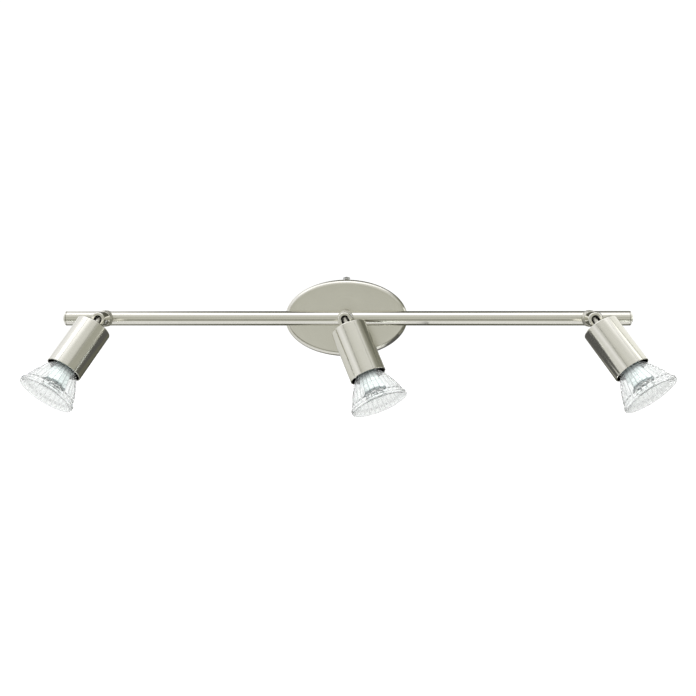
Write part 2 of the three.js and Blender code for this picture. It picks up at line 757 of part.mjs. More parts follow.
function addSpot(group, spot) {
  const swivel = new THREE.Group();
  swivel.position.set(spot.x, -BAR_OUT, 0);
  swivel.rotation.y = THREE.MathUtils.degToRad(spot.pan);
  const head = new THREE.Group();
  head.position.set(0, -PIVOT_OUT, 0);
  head.rotation.x = THREE.MathUtils.degToRad(spot.tilt);
  addSwivel(swivel, spot.name);
  addHead(head, spot.name);
  addLamp(head, spot.name);
  swivel.add(head);
  group.add(swivel);
}

const light = new THREE.Group();
addWallSide(light);
addBar(light);
for (const spot of SPOTS) addSpot(light, spot);

export default light;
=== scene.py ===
import json
import math

import bmesh
import bpy
from mathutils import Matrix, Vector


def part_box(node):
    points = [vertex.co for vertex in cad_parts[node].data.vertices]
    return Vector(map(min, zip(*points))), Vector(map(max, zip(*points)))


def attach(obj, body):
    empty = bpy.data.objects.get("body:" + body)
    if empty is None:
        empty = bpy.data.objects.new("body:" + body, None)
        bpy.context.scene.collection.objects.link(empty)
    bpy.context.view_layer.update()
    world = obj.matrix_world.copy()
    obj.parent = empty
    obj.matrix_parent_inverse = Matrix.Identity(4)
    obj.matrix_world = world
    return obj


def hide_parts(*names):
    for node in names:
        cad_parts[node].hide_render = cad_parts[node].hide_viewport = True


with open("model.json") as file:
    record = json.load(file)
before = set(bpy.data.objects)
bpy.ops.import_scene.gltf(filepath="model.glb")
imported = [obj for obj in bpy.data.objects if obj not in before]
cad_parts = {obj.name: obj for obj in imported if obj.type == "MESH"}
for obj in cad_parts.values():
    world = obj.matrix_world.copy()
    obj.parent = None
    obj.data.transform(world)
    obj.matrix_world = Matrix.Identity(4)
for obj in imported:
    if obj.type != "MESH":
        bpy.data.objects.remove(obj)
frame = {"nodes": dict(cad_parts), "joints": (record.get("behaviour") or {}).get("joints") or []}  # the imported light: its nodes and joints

bl_info = {
    "name": "Bar Light with Three Spots",
    "version": (1, 0, 0),
    "blender": (4, 5, 0),
    "location": "3D View > Sidebar > Bar Light",
    "description": "Builds a satin nickel bar light with three adjustable spots",
    "category": "Add Mesh",
}

MM = 0.001
SPOTS = ("left", "middle", "right")
JOINTS = {joint["name"]: joint for joint in frame["joints"]}
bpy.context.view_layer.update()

ROUND_STEPS = 96  # faces round a turned piece
SMALL_STEPS = 48  # faces round a small one
CUP_STEPS = 128  # round a cup
OVAL_STEPS = 160  # round the canopy
TINY_STEPS = 24  # round a light chip's gel and dome
ARC_STEPS = 5  # faces across a rounded corner
WELD = 1e-4  # mm, under which two vertices are one
SHARP = math.radians(40)  # steeper edges stay sharp

# In millimetres, and radii unless they say otherwise:
GAP = 0.3  # between two pieces that touch
SWIVEL_BORE = 3.3  # through the bar's front and the saddle cones
NIPPLE_BORE = 4.3  # through the bar's back and the collar
SIDE_SCREW_HOLE = 1.95
PIVOT_HOLE = 1.8
PIN_HOLE = 1.8
CHIP_RING = 7.2  # the circle that the light chips stand on
PRISM_ROW = 3.4  # the row of prisms round a bowl, behind its front
BOWL_NECK = 10.6  # the bowl where it starts to widen,
BOWL_NECK_FRONT = 54.5  # how far that is in front of the tilt axis,
BOWL_GROWTH = 18.0  # and how fast the square of its radius grows from there
GROOVE_PITCH = 0.14  # from one polishing groove to the next


# ---- places in the frame ----
def standing(origin, out, across):
    """A frame at origin with its Z along out and its X along across."""
    z = Vector(out).normalized()
    x = Vector(across).normalized()
    place = Matrix((x, z.cross(x), z)).transposed().to_4x4()
    place.translation = Vector(origin)
    return place


def middle_of(node):
    low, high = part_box(node)
    return (low + high) / 2


BAR_MIDDLE = middle_of("bar")
WALL = standing((0, 0, 0), (0, -1, 0), (1, 0, 0))
ALONG_BAR = standing(BAR_MIDDLE, (1, 0, 0), (0, -1, 0))


def base_place(spot):
    """Where a spot stands on the bar, with Z out of the bar's axis and Y up."""
    joint = JOINTS["swivel_" + spot]
    return standing((joint["pos_m"][0], BAR_MIDDLE.y, BAR_MIDDLE.z), (0, -1, 0), (1, 0, 0))


def swivel_place(spot):
    """The same point, with X along the spot's tilt axis."""
    place = base_place(spot)
    return standing(place.translation, (0, -1, 0), JOINTS["tilt_" + spot]["axis"])


def head_place(spot):
    """The spot's tilt axis, with Z along the lamp."""
    tilt = JOINTS["tilt_" + spot]
    return standing(tilt["pos_m"], JOINTS["lamp_twist_" + spot]["axis"], tilt["axis"])


def measure(node, place):
    """A CAD node's radius about the Z of a place, and its lowest and highest Z, in millimetres."""
    inward = place.inverted()
    points = [inward @ vertex.co for vertex in frame["nodes"][node].data.vertices]
    radius = max(point.xy.length for point in points)
    heights = [point.z for point in points]
    return radius / MM, min(heights) / MM, max(heights) / MM


# ---- shaping ----
def rounded(corners, closed=False):
    """An outline of (radius, out, rounding) corners, with each rounding as an arc."""
    points = []
    for i, (radius, out, rounding) in enumerate(corners):
        here = Vector((radius, out))
        at_end = not closed and i in (0, len(corners) - 1)
        if at_end or not rounding:
            points.append(here)
            continue
        before = (Vector(corners[i - 1][:2]) - here).normalized()
        after = (Vector(corners[(i + 1) % len(corners)][:2]) - here).normalized()
        half = before.angle(after) / 2
        centre = here + (before + after).normalized() * (rounding / math.sin(half))
        start = here + before * (rounding / math.tan(half)) - centre
        end = here + after * (rounding / math.tan(half)) - centre
        for step in range(ARC_STEPS + 1):
            reach = start.lerp(end, step / ARC_STEPS).normalized() * rounding
            points.append(centre + reach)
    return points


def tidy(bm):
    bmesh.ops.remove_doubles(bm, verts=bm.verts[:], dist=WELD)
    bmesh.ops.recalc_face_normals(bm, faces=bm.faces[:])
    return bm


def turned(outline, steps=ROUND_STEPS, closed=False):
    """An outline of (radius, out) points spun round Z. Open ones start and end on the axis."""
    bm = bmesh.new()
    verts = [bm.verts.new((point[0], 0, point[1])) for point in outline]
    edges = [bm.edges.new(pair) for pair in zip(verts, verts[1:])]
    if closed:
        edges.append(bm.edges.new((verts[-1], verts[0])))
    bmesh.ops.spin(
        bm, geom=verts + edges, axis=(0, 0, 1), angle=2 * math.pi, steps=steps, use_merge=True
    )
    return tidy(bm)


def hollow(corners, steps=ROUND_STEPS):
    """A closed outline of corners that stays off the axis, spun round Z."""
    return turned(rounded(corners, True), steps, True)


def ring(inner, outer, low, high, rounding):
    corners = [(inner, low), (outer, low), (outer, high), (inner, high)]
    return hollow([(radius, out, rounding) for radius, out in corners])


def rod(radius, low, high, steps=SMALL_STEPS):
    bm = bmesh.new()
    bmesh.ops.create_cone(
        bm,
        cap_ends=True,
        segments=steps,
        radius1=radius,
        radius2=radius,
        depth=high - low,
        matrix=Matrix.Translation((0, 0, (low + high) / 2)),
    )
    return bm


def block(low, high):
    bm = bmesh.new()
    bmesh.ops.create_cube(bm, size=1)
    bmesh.ops.scale(bm, vec=[b - a for a, b in zip(low, high)], verts=bm.verts[:])
    bmesh.ops.translate(bm, vec=[(a + b) / 2 for a, b in zip(low, high)], verts=bm.verts[:])
    return bm


def moved(bm, x=0.0, y=0.0, z=0.0):
    bmesh.ops.translate(bm, vec=(x, y, z), verts=bm.verts[:])
    return bm


def turned_to(bm, angle, axis):
    """Turns a solid about an axis of its bench."""
    bmesh.ops.rotate(bm, matrix=Matrix.Rotation(angle, 3, axis), verts=bm.verts[:])
    return bm


def along_x(bm):
    return turned_to(bm, math.pi / 2, "Y")


def along_y(bm):
    return turned_to(bm, -math.pi / 2, "X")


def joined(*parts):
    """Several solids as one bmesh."""
    whole = bmesh.new()
    for part in parts:
        mesh = bpy.data.meshes.new("part")
        part.to_mesh(mesh)
        part.free()
        whole.from_mesh(mesh)
        bpy.data.meshes.remove(mesh)
    return whole


def new_object(name, bm):
    mesh = bpy.data.meshes.new(name)
    bm.to_mesh(mesh)
    bm.free()
    made = bpy.data.objects.new(name, mesh)
    bpy.context.scene.collection.objects.link(made)
    return made


def carved(bm, operation, *tools):
    """The solid after each tool is cut from it or joined to it."""
    body = new_object("loose", bm)
    cutters = [new_object("loose", tool) for tool in tools]
    for cutter in cutters:
        modifier = body.modifiers.new("carve", "BOOLEAN")
        modifier.operation = operation
        modifier.solver = "EXACT"
        modifier.object = cutter
    graph = bpy.context.evaluated_depsgraph_get()
    mesh = bpy.data.meshes.new_from_object(body.evaluated_get(graph))
    result = bmesh.new()
    result.from_mesh(mesh)
    for made in (body, *cutters):
        old = made.data
        bpy.data.objects.remove(made)
        bpy.data.meshes.remove(old)
    bpy.data.meshes.remove(mesh)
    bmesh.ops.remove_doubles(result, verts=result.verts[:], dist=WELD)
    return result


def cut(bm, *tools):
    return carved(bm, "DIFFERENCE", *tools)


def cad_copy(node, place):
    """A CAD node's solid on its bench, with its flat faces merged."""
    bm = bmesh.new()
    bm.from_mesh(frame["nodes"][node].data)
    bmesh.ops.transform(bm, matrix=(place @ Matrix.Scale(MM, 4)).inverted(), verts=bm.verts[:])
    bmesh.ops.remove_doubles(bm, verts=bm.verts[:], dist=10 * WELD)
    bmesh.ops.dissolve_limit(bm, angle_limit=math.radians(1), verts=bm.verts[:], edges=bm.edges[:])
    return bm


def slotted_screw(head, head_height, shank, length, slot, dome):
    """A screw with its head's underside at zero and its shank below."""
    corners = [
        (0, -length, 0),
        (shank * 0.7, -length, 0),
        (shank, -length + shank * 0.5, 0),
        (shank, 0, 0),
        (head, 0, 0.15),
        (head, head_height - dome, 0.35),
        (0, head_height, 0),
    ]
    screw = turned(rounded(corners), SMALL_STEPS)
    groove = block((-head - 1, -slot / 2, head_height * 0.5), (head + 1, slot / 2, head_height + 1))
    return cut(screw, groove)


# ---- finishing a piece ----
def lay_grooves(bm):
    """A UV map with U across the grooves that turning leaves, for the stretch of the gloss."""
    layer = bm.loops.layers.uv.new("grooves")
    for face in bm.faces:
        centre = face.calc_center_median()
        outward = Vector((centre.x, centre.y, 0))
        around = Vector((-centre.y, centre.x, 0))
        if outward.length < WELD or abs(face.normal.dot(around.normalized())) > 0.8:
            around = Vector((1, 0, 0)) if abs(face.normal.x) < 0.8 else Vector((0, 1, 0))
        across = face.normal.cross(around).normalized()
        around = across.cross(face.normal)
        for loop in face.loops:
            reach = loop.vert.co - centre
            loop[layer].uv = (reach.dot(across), reach.dot(around))


def finished(name, bm, place, body, slot, stands_for=None, looks=(), edges=0.0, level=0):
    """Puts a solid in its place in the frame, as a piece that rides on a body.

    Its looks are the slot's own, unless others are named, one for each material index."""
    looks = looks or [slot]
    if looks[0].endswith("nickel"):
        lay_grooves(bm)
    bench = bm.verts.layers.float_vector.new("bench")
    for vertex in bm.verts:
        vertex[bench] = vertex.co
    for face in bm.faces:
        face.smooth = True
    bmesh.ops.transform(bm, matrix=place @ Matrix.Scale(MM, 4), verts=bm.verts[:])
    piece = new_object(name, bm)
    for look in looks:
        piece.data.materials.append(LOOKS[look])
    piece.data.set_sharp_from_angle(angle=SHARP)
    if edges:
        bevel = piece.modifiers.new("edges", "BEVEL")
        bevel.width = edges * MM
        bevel.segments = 2
        bevel.limit_method = "ANGLE"
        bevel.angle_limit = SHARP
        bevel.use_clamp_overlap = True
    if level:
        smooth = piece.modifiers.new("smooth", "SUBSURF")
        smooth.levels = level
        smooth.render_levels = level
    else:
        weighted = piece.modifiers.new("flats", "WEIGHTED_NORMAL")
        weighted.keep_sharp = True
    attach(piece, body)
    if stands_for:
        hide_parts(stands_for)
    return piece


# ---- materials ----
def node(tree, kind, settings=None, **inputs):
    """A shader node; an input named i0, i1 and so on is found by its place."""
    made = tree.nodes.new("ShaderNode" + kind)
    for key, value in (settings or {}).items():
        setattr(made, key, value)
    for key, value in inputs.items():
        by_place = key[0] == "i" and key[1:].isdigit()
        socket = made.inputs[int(key[1:]) if by_place else key.replace("_", " ")]
        if isinstance(value, bpy.types.NodeSocket):
            tree.links.new(value, socket)
        else:
            socket.default_value = value
    return made


def maths(tree, operation, *values):
    inputs = {f"i{i}": value for i, value in enumerate(values)}
    return node(tree, "Math", {"operation": operation}, **inputs).outputs[0]


def vector_maths(tree, operation, *values, out="Vector"):
    inputs = {f"i{i}": value for i, value in enumerate(values)}
    return node(tree, "VectorMath", {"operation": operation}, **inputs).outputs[out]


def noise(tree, place, scale, detail=3.0, roughness=0.55):
    made = node(tree, "TexNoise", Vector=place, Scale=scale, Detail=detail, Roughness=roughness)
    return made.outputs[0]


def spread(tree, value, low, high, start=0.3, stop=0.7):
    """A pattern's middle range, spread from low to high."""
    keys = {"From_Min": start, "From_Max": stop, "To_Min": low, "To_Max": high}
    return node(tree, "MapRange", Value=value, **keys).outputs[0]


def shades(tree, value, colour, darker, lighter):
    """A colour that a pattern varies between a darker and a lighter shade of it."""
    made = node(tree, "Mix", {"data_type": "RGBA"}, i0=value)
    made.inputs[6].default_value = (*[c * darker for c in colour[:3]], 1)
    made.inputs[7].default_value = (*[min(1, c * lighter) for c in colour[:3]], 1)
    return made.outputs[2]


def bump(tree, height, distance, strength=1.0):
    """A bump whose height is given in millimetres."""
    return node(tree, "Bump", Height=height, Distance=distance * MM, Strength=strength).outputs[0]


def new_look(name):
    look = bpy.data.materials.get(name)
    if look:
        bpy.data.materials.remove(look)
    look = bpy.data.materials.new(name)
    look.use_nodes = True
    look.node_tree.nodes.clear()
    return look, look.node_tree


def shown(look, tree, shader):
    output = node(tree, "OutputMaterial")
    tree.links.new(shader, output.inputs["Surface"])
    return look


def surfaced(look, tree, **inputs):
    """The look, as a principled surface with these inputs."""
    return shown(look, tree, node(tree, "BsdfPrincipled", **inputs).outputs[0])


def bench_place(tree):
    """The piece's own coordinates on its bench, in millimetres."""
    return node(tree, "Attribute", {"attribute_name": "bench"}).outputs["Vector"]


def frame_place(tree):
    """Object coordinates in millimetres, for a CAD node."""
    place = node(tree, "TexCoord").outputs["Object"]
    return vector_maths(tree, "MULTIPLY", place, (1 / MM, 1 / MM, 1 / MM))


def satin_metal(name, colour, roughness, pitch, stretch=0.6):
    """Plated metal with the fine grooves that polishing on a lathe leaves round it."""
    look, tree = new_look(name)
    place = bench_place(tree)
    parts = node(tree, "SeparateXYZ", Vector=place)
    flat = node(tree, "CombineXYZ", X=parts.outputs["X"], Y=parts.outputs["Y"]).outputs[0]
    radius = vector_maths(tree, "LENGTH", flat, out="Value")
    way = vector_maths(tree, "NORMALIZE", flat)
    height = maths(tree, "DIVIDE", parts.outputs["Z"], pitch)
    lines = vector_maths(tree, "MULTIPLY", way, (1.6, 1.6, 0))
    rise = node(tree, "CombineXYZ", Z=height).outputs[0]
    lines = vector_maths(tree, "ADD", lines, rise)
    grooves = node(
        tree,
        "TexNoise",
        {"noise_dimensions": "4D"},
        Vector=lines,
        W=maths(tree, "DIVIDE", radius, pitch),
        Scale=1.0,
        Detail=3.0,
        Roughness=0.65,
    ).outputs[0]
    handling = noise(tree, place, 0.07, 4.0)
    fine = maths(tree, "ADD", grooves, maths(tree, "MULTIPLY", handling, 0.4))
    return surfaced(
        look,
        tree,
        Base_Color=shades(tree, spread(tree, fine, 0, 1, 0.4, 1.0), colour, 0.93, 1.05),
        Roughness=spread(tree, fine, roughness * 0.85, roughness * 1.2, 0.4, 1.0),
        Metallic=1.0,
        Anisotropic=stretch,
        Normal=bump(tree, grooves, 0.02, 0.04),
        Tangent=node(tree, "Tangent", {"direction_type": "UV_MAP", "uv_map": "grooves"}).outputs[0],
    )


def plain_metal(name, colour, roughness, place=bench_place, mottle=0.5, grain=4.0):
    """Pressed or machined metal, mottled by its plating, with small scratches."""
    look, tree = new_look(name)
    where = place(tree)
    clouds = noise(tree, where, mottle, 4.0)
    pits = noise(tree, where, grain, 2.0)
    both = maths(tree, "ADD", clouds, maths(tree, "MULTIPLY", pits, 0.3))
    return surfaced(
        look,
        tree,
        Base_Color=shades(tree, spread(tree, clouds, 0, 1), colour, 0.85, 1.08),
        Roughness=spread(tree, both, roughness * 0.75, roughness * 1.3, 0.4, 0.9),
        Metallic=1.0,
        Normal=bump(tree, pits, 0.03, 0.3),
    )


def moulded(name, colour, roughness, place=bench_place, grain=2.5, depth=0.02, soft=0.0):
    """Moulded plastic or fired ceramic: an even body with a fine skin and slight clouding."""
    look, tree = new_look(name)
    where = place(tree)
    clouds = noise(tree, where, 0.12, 3.0)
    skin = noise(tree, where, grain, 3.0)
    shader = node(
        tree,
        "BsdfPrincipled",
        Base_Color=shades(tree, spread(tree, clouds, 0, 1), colour, 0.94, 1.03),
        Roughness=spread(tree, skin, roughness * 0.8, roughness * 1.2),
        Normal=bump(tree, skin, depth, 0.5),
    )
    if soft:
        shader.inputs["Subsurface Weight"].default_value = soft
        shader.inputs["Subsurface Radius"].default_value = (0.004, 0.004, 0.004)
        shader.inputs["Subsurface Scale"].default_value = 0.5
    return shown(look, tree, shader.outputs[0])


def circuit(name, colour):
    """A coated circuit board with its tracks faintly raised under the coat."""
    look, tree = new_look(name)
    where = bench_place(tree)
    tracks = node(
        tree, "TexBrick", {"offset": 0.4}, Vector=where, Scale=0.45, Mortar_Size=0.05,
        Mortar_Smooth=0.3,
    ).outputs["Fac"]
    clouds = noise(tree, where, 0.4)
    both = maths(tree, "MULTIPLY_ADD", tracks, 0.6, maths(tree, "MULTIPLY", clouds, 0.4))
    return surfaced(
        look,
        tree,
        Base_Color=shades(tree, both, colour, 0.8, 1.25),
        Roughness=spread(tree, clouds, 0.3, 0.45),
        Normal=bump(tree, tracks, 0.04, 0.5),
    )


def clear(name, colour, painted_shade=None, roughness=0.02, ior=1.46, haze=0.0):
    """Pressed glass, faintly wavy from its mould. Lamps shine straight through it. Where painted
    shade is given, its colour is darkened there in place of the dark lines that refraction draws.
    """
    look, tree = new_look(name)
    where = bench_place(tree)
    waves = noise(tree, where, 0.3, 2.0)
    tint = (*colour[:3], 1)
    if painted_shade:
        # Painted shade: the glass's colour drops to half where the flutes and prisms are shaded.
        plain = maths(tree, "SUBTRACT", 1.0, painted_shade(tree, where))
        tint = shades(tree, plain, colour, 0.5, 1.0)
    glass = node(
        tree,
        "BsdfPrincipled",
        Base_Color=tint,
        Roughness=spread(tree, waves, roughness * 0.5, roughness * 1.5),
        IOR=ior,
        Normal=bump(tree, waves, 0.03, 0.4),
    )
    glass.inputs["Transmission Weight"].default_value = 1 - haze
    through = node(tree, "BsdfTransparent", Color=(*colour[:3], 1))
    lamp_ray = node(tree, "LightPath").outputs["Is Shadow Ray"]
    mixed = node(tree, "MixShader", i0=lamp_ray, i1=glass.outputs[0], i2=through.outputs[0])
    return shown(look, tree, mixed.outputs[0])


def flute_wave(tree, where, flutes):
    """One at the bottom of each flute of a lamp's glass and minus one between two flutes."""
    parts = node(tree, "SeparateXYZ", Vector=where)
    angle = maths(tree, "ARCTAN2", parts.outputs["Y"], parts.outputs["X"])
    return maths(tree, "COSINE", maths(tree, "MULTIPLY", angle, flutes))


def dashes(tree, wave, along, middle, half):
    """A row of painted-shade dashes between the flutes, half a width to each side of its middle."""
    row = maths(tree, "COMPARE", along, middle, half)
    return maths(tree, "MULTIPLY", row, spread(tree, wave, 1.0, 0.0, -0.3, 0.3))


def bowl_painted_shade(flutes, rim):
    """Painted shade in the bottoms of a bowl's flutes and on the prisms near its rim, in place of
    the dark lines their refraction draws.
    """

    def painted_shade(tree, where):
        wave = flute_wave(tree, where, flutes)
        out = node(tree, "SeparateXYZ", Vector=where).outputs["Z"]
        prisms = dashes(tree, wave, out, rim - PRISM_ROW, 0.8)
        return maths(tree, "MAXIMUM", spread(tree, wave, 0.0, 0.7, 0.7, 1.0), prisms)

    return painted_shade


def front_painted_shade(flutes, ring_radius):
    """Painted shade in a ring round a lamp's front, where small prisms would refract; the front
    glass has no prisms modelled.
    """

    def painted_shade(tree, where):
        level = vector_maths(tree, "MULTIPLY", where, (1, 1, 0))
        radius = vector_maths(tree, "LENGTH", level, out="Value")
        wave = flute_wave(tree, where, flutes)
        prisms = dashes(tree, wave, radius, ring_radius, 0.5)
        return maths(tree, "MULTIPLY", prisms, 0.5)

    return painted_shade


def windowed(name, colour, dark, back):
    """A frosted capsule whose parts inside show as rows of pale and darker blocks, with painted
    shade that darkens it towards its back.
    """
    look, tree = new_look(name)
    where = bench_place(tree)
    parts = node(tree, "SeparateXYZ", Vector=where)
    angle = maths(tree, "ARCTAN2", parts.outputs["Y"], parts.outputs["X"])
    unrolled = maths(tree, "MULTIPLY", angle, 9.0)
    spot = node(tree, "CombineXYZ", X=unrolled, Y=parts.outputs["Z"]).outputs[0]
    blocks = node(
        tree,
        "TexBrick",
        Vector=spot,
        Scale=1.0,
        Mortar_Size=0.35,
        Mortar_Smooth=0.4,
        Brick_Width=3.6,
        Row_Height=3.4,
    )
    for socket, share in (("Color1", 1.0), ("Color2", 0.8), ("Mortar", 0.6)):
        value = [c * share + d * (1 - share) for c, d in zip(colour[:3], dark[:3])]
        blocks.inputs[socket].default_value = (*value, 1)
    # Painted shade: the capsule darkens towards its back, over four to seven millimetres in front
    # of it.
    near = node(tree, "MapRange", Value=parts.outputs["Z"], From_Min=back + 4, From_Max=back + 7)
    blocks_and_shade = node(tree, "Mix", {"data_type": "RGBA"}, i0=near.outputs[0], i7=blocks.outputs["Color"])
    blocks_and_shade.inputs[6].default_value = (*[(c + 2 * d) / 3 for c, d in zip(colour[:3], dark[:3])], 1)
    skin = noise(tree, where, 1.5, 3.0)
    return surfaced(
        look,
        tree,
        Base_Color=blocks_and_shade.outputs[2],
        Roughness=spread(tree, skin, 0.25, 0.4),
        Normal=bump(tree, skin, 0.02, 0.4),
    )


def make_looks(colours, sizes):
    """Every finish of the light, by its slot or by the piece it belongs to."""
    nickel, glass = tuple(colours.nickel), tuple(colours.glass)
    front = [share * 0.95 for share in glass[:3]]
    rim = measure("lamp_bowl_left", head_place("left"))[2]
    lens_radius = measure("lamp_lens_left", head_place("left"))[0]
    back = measure("lamp_capsule_left", head_place("left"))[1]
    # Painted shade that darkens the glass where its flutes and prisms would refract.
    bowl_shade = bowl_painted_shade(sizes.flutes, rim)
    front_shade = front_painted_shade(sizes.flutes, lens_radius - 4.5)
    return {
        "satin_nickel": satin_metal("satin nickel", nickel, colours.satin, GROOVE_PITCH),
        "soft_nickel": satin_metal("soft nickel", nickel, colours.satin * 3, GROOVE_PITCH, 0.3),
        "spun_nickel": satin_metal("spun nickel", nickel, colours.satin * 1.25, 0.2),
        "bright_nickel": satin_metal(
            "bright nickel", nickel, colours.satin * 0.7, GROOVE_PITCH, 0.3
        ),
        # Near black: painted shade in the knuckles' slots, and inside the cups partly their own
        # dark finish, partly painted shade.
        "dark_and_shaded_inside": plain_metal("dark inside", colours.inside, 0.5),
        "zinc_plate": plain_metal("zinc plate", colours.zinc, 0.38, mottle=0.35),
        "screw_steel": plain_metal("bright steel", colours.steel, 0.25),
        "brass": plain_metal("brass", colours.brass, 0.3),
        "terminal_plastic": moulded("terminal plastic", colours.terminal, 0.45),
        "lead_insulation": moulded("silicone sleeve", colours.lead, 0.5, soft=0.2),
        "ceramic": moulded("glazed ceramic", colours.ceramic, 0.35, grain=1.2, depth=0.04),
        "lamp_plastic": moulded("lamp plastic", colours.lamp_plastic, 0.35),
        "capsule_white": windowed("frosted capsule", colours.capsule, colours.board, back),
        "board_green": circuit("coated board", colours.board),
        "phosphor": moulded("phosphor gel", colours.phosphor, 0.25, grain=6.0, soft=0.1),
        "clear_glass": clear("fluted glass", glass, bowl_shade, ior=1.17, haze=0.07),
        "lenslet_glass": clear("lenslet glass", glass),
        "front_glass": clear("front glass", front, front_shade, 0.12, ior=1.15, haze=0.08),
    }


LOOKS = {}


# ---- the user's sizes and colours ----
def length(name, description, value, least=0.0):
    """A length whose default and least value are given in millimetres."""
    return bpy.props.FloatProperty(
        name=name, description=description, default=value * MM, min=least * MM,
        subtype="DISTANCE", unit="LENGTH", precision=5,
    )


def count(name, description, value, least, most):
    return bpy.props.IntProperty(
        name=name, description=description, default=value, min=least, max=most
    )


def colour(name, description, value):
    return bpy.props.FloatVectorProperty(
        name=name, description=description, default=(*value, 1.0), size=4, min=0.0, max=1.0,
        subtype="COLOR",
    )


class BarLightSizes(bpy.types.PropertyGroup):
    """Sizes that can be changed without touching how the light works."""

    edge_round: length("Edge Rounding", "Rounding of machined and pressed edges", 0.2)
    cup_wall: length("Cup Wall", "Thickness of the cups' sheet metal", 1.0, 0.4)
    cup_edge: length("Cup Edge", "Rounding round the closed end of a cup", 1.2)
    canopy_wall: length("Canopy Wall", "Thickness of the canopy's sheet metal", 1.0, 0.4)
    canopy_shoulder: length("Canopy Shoulder", "Rounding round the canopy's face", 4.5, 1.0)
    bar_wall: length("Bar Wall", "Thickness of the bar's tube", 1.0, 0.4)
    glass_wall: length("Glass Wall", "Thickness of a lamp's bowl", 1.2, 0.5)
    flute_depth: length("Flute Depth", "Depth of the flutes pressed in a lamp's bowl", 0.4)
    flutes: count("Flutes", "Number of flutes round a lamp's bowl", 30, 8, 60)
    chips: count("Light Chips", "Number of light chips on a lamp's board", 8, 3, 10)


class BarLightColours(bpy.types.PropertyGroup):
    """Colours and finishes of the light."""

    nickel: colour("Nickel", "Satin nickel plating", (0.72, 0.708, 0.63))
    satin: bpy.props.FloatProperty(
        name="Satin", description="Roughness of the nickel plating", default=0.15, min=0.02,
        max=1.0, subtype="FACTOR",
    )
    zinc: colour("Zinc", "Zinc plated steel", (0.62, 0.64, 0.66))
    steel: colour("Steel", "Screws", (0.58, 0.58, 0.57))
    brass: colour("Brass", "Earth screw and clamps", (0.78, 0.58, 0.28))
    terminal: colour("Terminal Block", "Moulded terminal block", (0.78, 0.74, 0.64))
    lead: colour("Leads", "Sleeves of the leads", (0.72, 0.72, 0.68))
    ceramic: colour("Ceramic", "Lampholders", (0.84, 0.81, 0.73))
    lamp_plastic: colour("Lamp Plastic", "Bases of the lamps", (0.86, 0.86, 0.84))
    capsule: colour("Capsule", "Frosted capsule inside a lamp", (0.86, 0.94, 0.93))
    board: colour("Board", "Coating of the lamps' boards", (0.05, 0.08, 0.08))
    # This colour is painted shade in the knuckles' slots, and inside the cups partly their own dark
    # finish, partly painted shade.
    inside: colour("Inside", "Dark inside of the cups and knuckles", (0.03, 0.03, 0.028))
    phosphor: colour("Phosphor", "Gel over the light chips", (0.88, 0.80, 0.42))
    glass: colour("Glass", "Glass of the lamps", (0.905, 0.915, 0.91))
    floor: colour("Floor", "Floor and background", (0.93, 0.93, 0.92))


def sizes_of(context):
    return context.scene.bar_light_sizes


